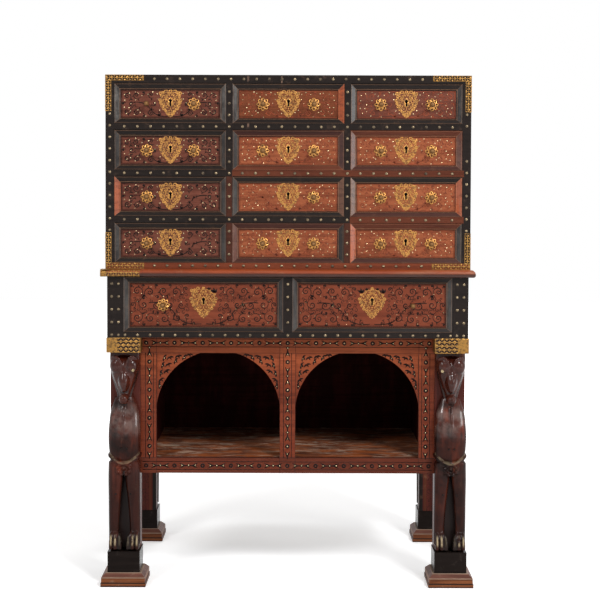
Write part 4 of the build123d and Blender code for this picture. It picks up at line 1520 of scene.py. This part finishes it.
        # painted shade between the toes, between the legs, in the creases at mouth and chin, and beside the face
        clefts = (aside.near(16.8, 2.0) | aside.near(28.4, 2.0)) * (z < 126.0)
        hollow = (aside + z * 0.0892 < 29.4) * (aside < 15.6) * (z < 300.0)
        gaps = z.near(505.0, 2.2) * (aside < 11.0) | z.near(474.0, 2.5) * (aside < 8.0)
        groove = (abs(aside - z * 0.31 + 138.0) < 2.2) * z.between(484, 558)
        dirt_and_shade = clefts * 0.9 | hollow * 0.85 | gaps * 0.7 | groove * 0.7
        polish = chest * (0.25 + cloudy.step(0.38, 0.6) * 0.4) + head * 0.26
        grain = Grain("Z", 0.36, 0.05, rough=0.19, coat=0.1, depth=0.08, shine=0.06, rub_and_glint=(0.42, 0.33, 0.20))
        return grain.dress(n, face, toes | sash * 0.28, dirt_and_shade, polish)


# ---------------------------------------------------------------- the stand
LACE_PITCH = 6.6             # from hole to hole in the pierced strips


def lace(length: float, width: float, rows: int = 1, plain: tuple[float, float] = (0, 0)) -> Cover:
    """The cover function of a pierced strip about its own middle: two lines of leaning oval holes in each row.

    Metal lies within a rim and outside the ovals; plain stretches are left solid at either end.

    Args:
        length: along X.
        width: across, in Y.
        rows: how many rows lie across the strip.
        plain: solid stretches at the low and at the high end of X.
    Returns:
        The cover function.
    """
    pitch, band = LACE_PITCH, width / rows

    def cover(x: np.ndarray, y: np.ndarray) -> np.ndarray:
        """Cover at each place.

        Args:
            x: places in X.
            y: places in Y.
        Returns:
            The cover there.
        """
        out = np.minimum(length / 2 - np.abs(x), width / 2 - np.abs(y))
        v = np.mod(y + width / 2, band) - band / 2
        column = np.floor(x / pitch)
        u = x - (column + 0.5) * pitch
        lean = np.where((column + (v > 0)) % 2 == 0, 0.75, -0.75)
        w = np.abs(v) - 0.245 * band
        w = np.where(v > 0, w, -w)
        across, along = u * np.cos(lean) + w * np.sin(lean), w * np.cos(lean) - u * np.sin(lean)
        hole = np.hypot(across / (0.32 * pitch), along / (0.235 * band))
        bead = 0.3 * pitch * 0.35 - np.hypot(u, v)
        metal = np.maximum(np.maximum((hole - 1) * 1.5, bead), 1.3 - out)
        solid = np.maximum(x - (length / 2 - plain[1]), (-length / 2 + plain[0]) - x)
        return np.minimum(np.maximum(metal, solid), out)

    return cover


@dataclass(frozen=True)
class Legs:
    """Four legs: feet, plinths, posts, guardian beasts and pierced collars."""

    x: float = 426.5              # the legs' axes
    y: float = 235.5
    post: float = 39.0            # half a post's width
    collar_w: float = 88.0
    collar_h: float = 39.0
    collar_low: float = 610.0
    collar_t: float = 2.0

    def collar(self, end: int, side: int) -> Skin:
        """One leg's collar: pierced in two rows on its face and on its outer side, plain behind and inside.

        Args:
            end: -1 for a front leg, 1 for a rear one.
            side: -1 for a left leg, 1 for a right one.
        Returns:
            The collar, in place.
        """
        w, h, t = self.collar_w, self.collar_h, self.collar_t
        half = w / 2 - t
        plain = (28.0, 0.0) if side == end else (0.0, 28.0)
        face, rear = (Way.FRONT, Way.REAR) if end < 0 else (Way.REAR, Way.FRONT)
        faces = [
            pierced(w, h, 0.75, t, lace(w, h, 2, plain), 0.6).turned(face).moved(0, end * half),
            bar(-w / 2, w / 2, 0, h, 0, t).turned(rear).moved(0, -end * half),
            pierced(2 * half, h, 0.9, t, lace(2 * half, h, 2), 0.6).turned(Way.outward(side)).moved(side * half),
            bar(-half, half, 0, h, 0, t).turned(Way.outward(-side)).moved(-side * half),
        ]
        return joined(faces).moved(side * self.x, end * self.y, self.collar_low + self.collar_h / 2)

    def eye(self, side: int) -> Skin:
        """The inner eye of a front beast: a brass ring round a bead.

        Args:
            side: -1 for the left beast, 1 for the right one.
        Returns:
            The eye, in place.
        """
        ring = ribbon(circle(3.2, 16), 1.3, -2.0, 0.5, closed=True)
        bead = lathed([(1.7, -2.0), (1.6, 0.2), (0.8, 0.7)], 12)
        place = (-side * 24.0, -40.2, 564)
        return joined([ring, bead]).turned(Way.FRONT).moved(*place).moved(side * self.x, -self.y)

    def marks(self, side: int) -> Skin:
        """Small dark lozenges let into a front beast's legs and chest.

        Args:
            side: -1 for the left beast, 1 for the right one.
        Returns:
            The lozenges, in place.
        """
        lozenge = lathed([(3.4, -3.0), (3.2, 0.5)], 3).turned(Way.FRONT)
        places = ((-17, 268), (17.5, 268), (-20.5, 239), (17, 239), (-6, 360), (8, 360))
        made = [lozenge.moved(x, -37.2 if z < 300 else -43.2, z) for x, z in places]
        return joined(made).moved(side * self.x, -self.y)

    def post_strips(self) -> list[Skin]:
        """Thin ebony stringing down the inner and outer faces of the posts, 4 mm inside each edge.

        Returns:
            The strips, in place.
        """
        line = ribbon([[0, -258], [0, 258]], 2.0)
        lines = {way: line.turned(Way.outward(way)) for way in SIDES}
        return [
            lines[side * way].moved(side * (self.x + way * self.post), end * (self.y - 22) + offset, 349.5)
            for side in SIDES for end in SIDES for offset in (-15.5, 15.5) for way in SIDES
        ]

    def post_finish(self) -> bpy.types.Material:
        """The posts: rosewood, with ebony edges, a red-brown strip on the face turned from the beast, and painted shade
        behind the beast's legs and inside the collar.

        Returns:
            The material.
        """
        cap, thighs = 609.0, 330.0                # heights
        near, far = 2.0, 42.0                     # how far in from the beast's axis the post's faces lie
        n = Surface("post_rosewood")
        x, y, z = n.axes()
        behind, inner = (abs(abs(y) - self.y + inset) < 1.0 for inset in (near, far))
        # painted shade behind the beast's legs, and inside the collar
        cleft = (abs(abs(x) - self.x) < 17.0) * behind * (z < thighs) | (z > cap)
        edge = abs(abs(abs(x) - self.x) - self.post)
        face = n.layers(
            Timber.POST,
            (inner * (edge < 11.0), Timber.EBONY),
            (inner * edge.between(14.0, 21.0), Timber.RED_BROWN),
            (inner * (edge > 21.0) * n.noise(260.0).step(0.5, 0.6) * 0.7, (40, 20, 16)),
        )
        return Grain("Z").dress(n, face, None, cleft * 0.9)

    def base_finish(self) -> bpy.types.Material:
        """The feet: brown moulded bases, scuffed at their edges, greyer on the upper bevel with dust and a painted
        reflection, and with painted shade in the quirk, the hollow and along the floor.

        Returns:
            The material.
        """
        quirk, hollow, shoulder, top = (8.4, 11.4), (20.0, 21.6), (22.6, 24.6), (33.4, 35.0)      # heights
        n = Surface("brown_base")
        z = n.axes()[2]
        # dust, and a painted reflection, greying the upper bevel
        face = n.layers(Timber.BASE, (z.step(21, 24) * 0.75, (98, 66, 60)))
        edges = z.between(*shoulder) | z.between(*top) * 0.8
        # painted shade in the quirk, the hollow and along the floor
        dirt_and_shade = z.between(*quirk) * 0.9 | (z < 3.0) * 0.7 | z.between(*hollow) * 0.6
        return Grain(contrast=0.6, worn=0.45, rough=0.42, rub_and_glint=(0.34, 0.25, 0.18)).dress(n, face, edges, dirt_and_shade)

    def build(self, finishes: Finishes) -> None:
        """Builds the legs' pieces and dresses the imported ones.

        Args:
            finishes: the shared finishes.
        """
        plinth = Grain(worn=0.2, rough=0.13, coat=0.0, shine=0.06, rub_and_glint=EBONY_RUB)
        coat("leg_feet", self.base_finish())
        coat("leg_plinths", plinth.wood("plinth_ebony", Timber.EBONY))
        coat("leg_posts", self.post_finish())
        beast = GuardianBeast()
        finish, skin = beast.finish(self.x), beast.skin()
        for row, end, stood in (("front", -1, skin), ("rear", 1, skin.turned(Way.HALF))):
            for name, side in (("left", -1), ("right", 1)):
                skins = [stood.moved(side * self.x, end * self.y)]
                made = piece(f"beast_{row}_{name}", skins, finish, STAND, crisp=True)
                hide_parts("guardian_beasts")
        collars = [self.collar(end, side) for end in SIDES for side in SIDES]
        made = piece("collars_pierced", collars, finishes.dull_gilt, STAND, crisp=True)
        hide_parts("leg_collars")
        piece("beast_eyes", [self.eye(side) for side in SIDES], finishes.brass, crisp=True)
        piece("leg_marks", [self.marks(side) for side in SIDES], finishes.inlay)
        piece("post_stringing", self.post_strips(), finishes.inlay)


def motif(pitch: float) -> Skin:
    """One repeat of a band along X: a ring, a diamond and two darts, each with a pair of curved arms.

    Each piece is a strip through (place, width), the place as a share of the pitch.

    Args:
        pitch: from ring to ring.
    Returns:
        The repeat, its ring at the origin.
    """
    diamond = ((0.43, 1.4), (0.47, 3.8), (0.5, 10.5), (0.53, 3.8), (0.57, 1.4))
    dart = ((0.23, 2.0), (0.28, 9.5), (0.33, 5.5), (0.385, 3.2), (0.45, 1.8))
    arm = np.array([[0.30, 0.8], [0.265, 3.2], [0.22, 5.4], [0.175, 6.4]])

    def strip(spots: tuple[tuple[float, float], ...], side: int) -> Skin:
        """A straight piece on one side of the ring."""
        return ribbon([[side * pitch * place, 0] for place, _ in spots], np.array([width for _, width in spots]))

    skins = [ribbon(circle(3.9, 18), 3.8, closed=True), strip(diamond, 1)]
    for side in SIDES:
        skins.append(strip(dart, side))
        skins += [ribbon(arm * [side * pitch, up], np.array([3.0, 3.0, 2.2, 0.8])) for up in SIDES]
    return joined(skins)


@dataclass(frozen=True)
class Arcade:
    """The arcaded front between the legs: banded inlay with rings and pins, and leafy spandrels."""

    face_y: float = -227.5
    spandrel_y: float = -223.5
    rail_x: float = 381.5         # the rails' bands end here
    pitch: float = 74.5           # from ring to ring
    band_w: float = 21.0
    stile_in: float = 345.5       # inner edges of the outer stiles, and half the middle one
    middle_half: float = 20.5
    rail_low: float = 326.7       # inner edges of the rails
    rail_high: float = 603.7
    arch_x: float = 183.0
    arch_z: float = 446.6
    arch_r: float = 163.5

    def band(self, count: int, first: float, ends: tuple[float, float], pins_at: tuple) -> tuple[Skin, np.ndarray]:
        """A band of inlay along X: repeats of the motif between two border lines.

        Args:
            count: how many rings.
            first: place of the first ring.
            ends: where its border lines begin and end.
            pins_at: each repeat's pins, as (share of the pitch, size).
        Returns:
            The inlay, and its pins as (x, z, size).
        """
        places = np.column_stack([first + self.pitch * np.arange(count), np.zeros(count)])
        lines = [bar(*ends, v, 1.5) for v in (-self.band_w / 2, self.band_w / 2)]
        skin = joined([scattered(motif(self.pitch), places), *lines])
        heads = [(self.pitch * share + place, 0, size) for place in places[:, 0] for share, size in pins_at]
        return skin, np.array(heads)

    def bands(self) -> tuple[list[Skin], np.ndarray]:
        """Both rails, both stiles and the middle stile.

        Returns:
            The inlay, and the pins as (x, z, size).
        """
        darts = ((0.27, 1.35), (-0.27, 1.35), (0.5, 1.35))
        run, ends = (11, -5 * self.pitch), (-self.rail_x, self.rail_x)
        made = []
        for z, at in ((305.5, darts), (630.5, ((0, 1.3), *darts))):
            skin, heads = self.band(*run, ends, at)
            made.append((skin.moved(0, z), heads + [0, z, 0]))
        skin, heads = self.band(4, 357.0, (326, 604), ((0, 1.3), *darts))
        skin, heads = skin.turned(Way.QUARTER), heads[:, [1, 0, 2]] * [-1, 1, 1]
        made += [(skin.moved(x), heads + [x, 0, 0]) for x in (-364.0, 0.0, 364.0)]
        return [skin for skin, _ in made], np.vstack([heads for _, heads in made])

    def spandrels(self) -> tuple[list[Skin], np.ndarray]:
        """Leaves beside both arches, following each arch's curve at 5-64 mm from it.

        Returns:
            The leaves, and their pins as (x, z, size).
        """
        places = (
            (24, 6, 1), (30, 9, -1), (34, 19, 1), (39, 10, -1), (40, 28, 1), (44, 18, -1), (45, 38, 1), (49, 28, -1),
            (50, 12, 1), (55, 17, -1), (58, 7, 1), (64, 5, -1),
        )
        leaves, pins_right = [], []
        for angle, away, turn in places:
            a = math.radians(angle)
            x, z = (self.arch_r + away) * math.cos(a), (self.arch_r + away) * math.sin(a)
            for lean, long, bend, width in ((60, 13, 0.9, 0.36), (-105, 10, -0.9, 0.4), (150, 7, 0.6, 0.4)):
                leaves.append(leaf(x, z, angle + lean * turn, long, bend * turn, width))
            leaves.append(ribbon(spiral(x, z, 4.6, angle + 90, 0.9 * turn, 10), 2.0))
            if turn > 0:
                pins_right.append((x, z, 0.9))
        half = joined(leaves)
        skins, heads = [], []
        for centre in (-self.arch_x, self.arch_x):
            for side in SIDES:
                skins.append((half if side > 0 else half.turned(Way.MIRROR)).moved(centre, self.arch_z))
                heads.append(np.array(pins_right) * [side, 1, 1] + [centre, self.arch_z, 0])
        return skins, np.vstack(heads)

    def finish(self) -> bpy.types.Material:
        """The arcade's rosewood with painted light towards its top, darker on its low rail, with dark joints and edges,
        and painted shade on the faces set back inside the arches.

        Returns:
            The material.
        """
        n = Surface("arcade_rosewood")
        x, y, z = n.axes()
        upright = (abs(x) > self.stile_in) | (abs(x) < self.middle_half)
        joint = upright * z.near(self.rail_high, 0.6) | upright * z.near(self.rail_low, 0.6)
        # painted shade on the faces set back inside the arches
        inner = (y > self.spandrel_y + 0.5) * 0.8
        edge = (
            abs(x).near(self.stile_in, 0.8) | z.near(self.rail_high, 0.8) | z.near(self.rail_low, 0.8)
            | abs(x).near(self.middle_half, 0.8)
        )
        # painted light towards the top; darker on the low rail
        face = n.layers(
            Timber.ARCADE, (z.step(500, 610), (150, 75, 43)), ((z < self.rail_low) * 0.45, (60, 26, 16))
        )
        return Grain(worn=0.1).dress(n, face, None, joint * 0.7 | inner * 0.6 | edge * 0.6)

    def build(self, finishes: Finishes) -> None:
        """Builds the inlay and its pins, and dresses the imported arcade.

        Args:
            finishes: the shared finishes.
        """
        coat("compartment_arcade", self.finish())
        inlay, heads = [], []
        for (skins, pin_rows), y in ((self.bands(), self.face_y), (self.spandrels(), self.spandrel_y)):
            inlay += [skin.turned(Way.FRONT).moved(0, y) for skin in skins]
            heads.append(pins(pin_rows[:, :2], pin_rows[:, 2]).turned(Way.FRONT).moved(0, y))
        piece("arcade_inlay", inlay, finishes.inlay)
        piece("arcade_pins", heads, finishes.brass, crisp=True)


@dataclass(frozen=True)
class Stand:
    """Apron, stand top and compartment."""

    floor: tuple[float, float] = (326.0, 327.5)       # heights between which the compartment's floor lies

    def case_finish(self) -> bpy.types.Material:
        """The compartment's boards: walls nearly black-red as painted shade, and a brown floor with pale rubbed
        streaks.

        Returns:
            The material.
        """
        n = Surface("compartment_teak")
        floor = n.axes()[2].between(*self.floor)
        streak = n.noise((11.0, 34.0, 34.0), 6.0, 0.78, 1.2).step(0.46, 0.66) * floor
        scuff = n.noise((5.0, 9.0, 9.0), 4.0, 0.6).step(0.38, 0.6) * floor
        mottle = n.noise((22.0, 22.0, 7.0), 4.0, 0.65).step(0.42, 0.66)
        patch = n.noise((12.0, 22.0, 12.0), 4.0, 0.65, 0.6).step(0.42, 0.6)
        stain = n.noise((8.0, 15.0, 9.0), 3.0, 0.6).step(0.52, 0.68) * 0.6
        boards = n.layers((104, 60, 42), (patch, (146, 80, 44)), (stain, (58, 34, 27)))
        # painted shade: the compartment's walls nearly black-red
        face = n.layers((42, 15, 12), (mottle, (62, 22, 20)), (floor, boards))
        grain = Grain(worn=0.0, rough=0.6, coat=0.0, shine=0.03, rub_and_glint=(0.52, 0.41, 0.31))
        return grain.dress(n, face, streak * (0.25 + scuff * 0.75))

    def top_finish(self) -> bpy.types.Material:
        """The moulded top: pale streaks along its nose, wear and a painted highlight, and painted shade under it.

        Returns:
            The material.
        """
        n = Surface("red_moulding")
        z = n.axes()[2]
        # pale streaks along the nose: wear, and a painted highlight
        rub_and_glint = n.noise((5.0, 40.0, 40.0), 4.0, 0.7).step(0.5, 0.7) * z.between(808, 828.5)
        grain = Grain(contrast=0.35, worn=0.3, rough=0.3, coat=0.4)
        # painted shade under the nose
        return grain.dress(n, linear(Timber.MOULDING.value), rub_and_glint * 0.5, (1.0 - z.step(815, 821)) * 0.85)

    def build(self, finishes: Finishes) -> None:
        """Dresses the stand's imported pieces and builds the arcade's and the legs'.

        Args:
            finishes: the shared finishes.
        """
        coat("stand_apron", Grain(contrast=0.35, worn=0.16, rub_and_glint=EBONY_RUB).wood("apron_ebony", Timber.EBONY))
        coat("stand_top", self.top_finish())
        coat("compartment_case", self.case_finish())
        Arcade().build(finishes)
        Legs().build(finishes)


# ---------------------------------------------------------------- the cabinet
@dataclass(frozen=True)
class NoseMount:
    """The mount that wraps the stand top's left front corner: plain at the corner, then pierced.

    A flat strip is bent over the thumbnail nose: its own v runs round the nose's profile, over a
    flat, an upper quarter round, a straight and a lower quarter round.
    """

    x: float = 485.0              # the stand top's edges
    y: float = 294.0
    z: float = 828.0
    flat: float = 14.0
    upper: float = 12.0
    straight: float = 2.0
    lower: float = 6.0
    thick: float = 1.2

    def strip(self, length: float) -> Skin:
        """A strip bent over the nose.

        Args:
            length: from the corner to its ragged far end.
        Returns:
            The strip in a frame of (along, out, up): out grows away from the cabinet.
        """
        round_v = self.flat + self.upper * np.pi / 2           # where the straight begins
        low_v = round_v + self.straight
        long = low_v + self.lower * np.pi / 2
        pattern = lace(length, long, 3, (14.0, 0.0))

        def cover(x: np.ndarray, y: np.ndarray) -> np.ndarray:
            """Cover with a ragged far end."""
            return np.minimum(pattern(x, y), length / 2 - 4 - 5 * np.sin(y * 0.55) ** 2 - x)

        skin = pierced(length, long, 0.9, self.thick, cover, 0.3).moved(length / 2, long / 2)
        u, v, t = skin.points.T
        a = np.clip((v - self.flat) / self.upper, 0, np.pi / 2)
        b = np.clip((v - low_v) / self.lower, 0, np.pi / 2)
        out = np.clip(v, 0, self.flat) - self.flat + self.upper * np.sin(a) - self.lower * (1 - np.cos(b))
        fall = self.upper * (1 - np.cos(a)) + np.clip(v - round_v, 0, self.straight) + self.lower * np.sin(b)
        tilt = np.where(v < round_v, a, np.pi / 2 + b)
        rise = t - self.thick
        return Skin(np.column_stack([u, out + rise * np.sin(tilt), rise * np.cos(tilt) - fall]), skin.quads, skin.tris)

    def skins(self) -> list[Skin]:
        """The front strip and the left one, both running away from the corner.

        Returns:
            Both, in place.
        """
        front = self.strip(109.0).turned(Way.FLIP).moved(0.2 - self.x, self.upper - self.y, self.z)
        flank = self.strip(96.0).turned(Way.QUARTER).moved(self.upper - self.x, 0.2 - self.y, self.z)
        return [front, flank]


@dataclass(frozen=True)
class Cabinet:
    """The cabinet's case: facings, veneered sides, pierced corner mounts, nails and handles."""

    half_w: float = 473.0
    front: float = -272.0
    rear: float = 268.0
    low: float = 828.0
    high: float = 1330.0
    arm: float = 100.0            # a corner mount's arms
    arm_w: float = 15.0
    side_arm: float = 60.0
    upright: float = 94.0
    ring_pitch: float = 60.0      # from ring to ring in the sides' bands

    def corners(self) -> list[Skin]:
        """Four corner mounts: pierced arms along the front's two edges and the side's two.

        Returns:
            The arms, in place.
        """
        w, half = self.arm_w, self.arm_w / 2
        lengths = (self.arm - 1, self.upright - w, self.side_arm)
        across, rise, deep = (pierced(length, w, 0.75, 1.2, lace(length, w), 0.6) for length in lengths)
        rise = rise.turned(Way.QUARTER)
        made = []
        for side in SIDES:
            outward, x = Way.outward(side), side * self.half_w
            for z, up in ((self.low, 1), (self.high, -1)):
                middle = z + up * (self.upright + w) / 2
                made += [
                    across.turned(Way.FRONT).moved(side * (self.half_w - self.arm / 2), self.front, z + up * half),
                    rise.turned(Way.FRONT).moved(side * (self.half_w - half), self.front, middle),
                    deep.turned(outward).moved(x, self.front + self.side_arm / 2, z + up * half),
                    rise.turned(outward).moved(x, self.front + half, middle),
                ]
        return made

    def side_inlay(self) -> list[Skin]:
        """Each side's inlay: border lines, a band of rings and darts between them, and four groups of scrolls.

        Returns:
            The inlay of both sides, in place.
        """
        w, h = (self.rear - self.front) / 2 - 34, (self.high - self.low) / 2 - 34
        ring = motif(self.ring_pitch)
        tall = ring.turned(Way.QUARTER)
        made = border(w, h, 2.0) + border(w - 26, h - 26, 2.0)
        for end in SIDES:
            made.append(scattered(ring, np.array([(self.ring_pitch * i, end * (h - 13)) for i in range(-3, 4)])))
            made.append(scattered(tall, np.array([(end * (w - 13), self.ring_pitch * i) for i in range(-2, 3)])))
        for side in SIDES:
            for scale in (1, 0.62):
                specs = ((96, 80, 34, 250, -1.6), (150, 60, 26, 200, 1.5), (60, 120, 22, 120, 1.4))
                group = joined([strip for x, *rest in specs for strip in scroll((x * scale, *rest), 3.0)])
                group = group if side > 0 else group.turned(Way.MIRROR)
                made += [group, group.turned(Way.FLIP)]
        middle = ((self.rear + self.front) / 2, (self.high + self.low) / 2)
        return [skin.turned(Way.outward(side)).moved(side * self.half_w, *middle) for side in SIDES for skin in made]

    def carcase_finish(self) -> bpy.types.Material:
        """The case's veneers: rosewood with an ebony border on the sides and on top.

        Returns:
            The material.
        """
        n = Surface("carcase_veneer")
        x, y, z = n.axes()
        half_y, half_z = (self.rear - self.front) / 2, (self.high - self.low) / 2
        y, z_middle = y + 2.0, z - (self.high + self.low) / 2
        side = (abs(x) > self.half_w - 0.1) * 1.0
        side_border = side * ((abs(y) > half_y - 48.0) | (abs(z_middle) > half_z - 48.0))
        top_border = (z > self.high - 0.1) * ((abs(x) > self.half_w - 33.0) | (abs(y) > half_y - 34.0))
        face = n.layers(Timber.SIDE, (side_border, Timber.EBONY), (top_border, Timber.EBONY))
        return Grain("Y", worn=0.2).dress(n, face)

    def build(self, finishes: Finishes) -> None:
        """Builds the cabinet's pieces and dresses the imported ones.

        Args:
            finishes: the shared finishes.
        """
        nails = Metal((128, 112, 88), (52, 42, 32), rough=0.24, tarnish=0.9, patch=45.0)
        bare = Grain(contrast=0.5, worn=0.2, rough=0.6, coat=0.0)
        inside = Grain("Y", contrast=0.5, rough=0.6, coat=0.0)
        dressed = {
            "cabinet_carcase": self.carcase_finish(),
            "cabinet_back": bare.wood("back_teak", Timber.TEAK),
            "cabinet_partitions": inside.wood("partition_teak", Timber.TEAK),
            "cabinet_facings": facing_finish(),
            "nail_heads": nails.build("nail_brass"),
            **dict.fromkeys(("handle_plates", "left_handle", "right_handle"), finishes.dull_gilt),
        }
        for name, material in dressed.items():
            coat(name, material)
        mounts = self.corners() + NoseMount().skins()
        made = piece("corner_mounts_pierced", mounts, finishes.dull_gilt, STAND, crisp=True)
        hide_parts("corner_mounts")
        piece("side_inlay", self.side_inlay(), finishes.inlay)


# ---------------------------------------------------------------- studio
@dataclass(frozen=True)
class Studio:
    """Floor, lamps and camera."""

    eye: Point = (10.0, -3855.6, 1031.6)
    lens: float = 82.97
    pitch: float = 2.0
    roll: float = -0.187
    shift: tuple[float, float] = (0.0133, -0.1017)
    glow: float = 0.42            # lifts the lit floor to white for the camera, above its shadows
    half_floor: float = 9e3
    # name, place in metres, size and power
    lamps: tuple = (
        ("key_lamp", (1.7, -3.1, 3.5), 0.8, 130),
        ("fill_lamp", (-2.2, -3.0, 3.0), 1.0, 62),
        ("side_lamp", (3.3, -1.9, 1.3), 1.2, 36),
        ("rear_lamp", (0.4, 3.0, 2.8), 2.4, 60),
    )

    def floor(self) -> None:
        """A wide pale floor that is white to the camera, keeps the object's shadow and has a painted shadow under the
        compartment.
        """
        n = Surface("studio_floor")
        seen = n.add("ShaderNodeLightPath", out="Is Camera Ray") | n.add("ShaderNodeLightPath", out="Is Glossy Ray")
        x, y, _ = n.axes()
        away = (x * x + y * y).step(0.6e6, 6e6)
        # painted shadow: the floor's glow dimmed in an oval under the compartment
        across, back = (x + 40.0) * (1 / 400.0), (y - 230.0) * (1 / 210.0)
        under = 1.0 - (across * across + back * back).step(0.1, 1.0)
        lift = n.mix(away, n.mix(under, (self.glow,) * 3, (0.27, 0.265, 0.26)), (1.0, 1.0, 1.0))
        material = n.finish(
            Base_Color=n.mix(n.noise(0.8, 2.0), (0.86, 0.86, 0.86), (0.90, 0.90, 0.90)),
            Roughness=0.9,
            Emission_Color=n.mix(seen, (0.0, 0.0, 0.0), lift),
            Emission_Strength=1.0,
        )
        far = self.half_floor
        corners = np.array([[-far, -far, -0.5], [far, -far, -0.5], [far, far, -0.5], [-far, far, -0.5]])
        mesh = mesh_of("floor", Skin(corners, np.array([[0, 1, 2, 3]])))
        mesh.materials.append(material)
        placed("floor", mesh)

    def world(self) -> None:
        """A plain world: white to the camera and in reflections of the metal, grey as light."""
        n = Nodes(bpy.data.worlds.new("studio"))
        bpy.context.scene.world = n.owner
        kinds = ("Is Camera Ray", "Is Glossy Ray", "Is Transmission Ray")
        camera, glossy, through_glass = (n.add("ShaderNodeLightPath", out=kind) for kind in kinds)
        dim = n.add("ShaderNodeBackground", {0: (0.62, 0.61, 0.60), 1: 0.42})
        white = n.add("ShaderNodeBackground", {0: (1.0, 1.0, 1.0)})
        mixed = n.add("ShaderNodeMixShader", {0: camera | glossy | through_glass, 1: dim, 2: white})
        n.close("ShaderNodeOutputWorld", mixed)

    def lamp(self, name: str, at: Point, size: float, power: float) -> None:
        """A square lamp that looks at the cabinet's middle.

        Args:
            name: its name.
            at: its place in metres.
            size: its side in metres.
            power: its watts.
        """
        data = bpy.data.lights.new(name, "AREA")
        data.size, data.energy = size, power
        made = placed(name, data)
        made.location = at
        made.rotation_euler = (Vector((0, 0, 0.75)) - Vector(at)).to_track_quat("-Z", "Y").to_euler()

    def camera(self) -> None:
        """The camera, and the plain view transform that it is seen through."""
        data = bpy.data.cameras.new("camera")
        data.lens, data.sensor_width, data.clip_end = self.lens, 36.0, 100
        data.shift_x, data.shift_y = self.shift
        made = placed("camera", data)
        made.location = Vector(self.eye) * MM
        made.rotation_euler = (math.radians(90 - self.pitch), math.radians(self.roll), 0)
        bpy.context.scene.camera = made
        bpy.context.scene.view_settings.view_transform = "Standard"

    def build(self) -> None:
        """Sets up floor, world, lamps and camera."""
        self.floor()
        self.world()
        for lamp in self.lamps:
            self.lamp(*lamp)
        self.camera()


def main() -> None:
    """Builds the studio and every dressed piece."""
    logging.basicConfig(level=logging.INFO, format="%(message)s")
    Studio().build()
    finishes = Finishes()
    for part in (Cabinet(), Drawers(), Stand()):
        part.build(finishes)


if __name__ == "__main__":
    main()
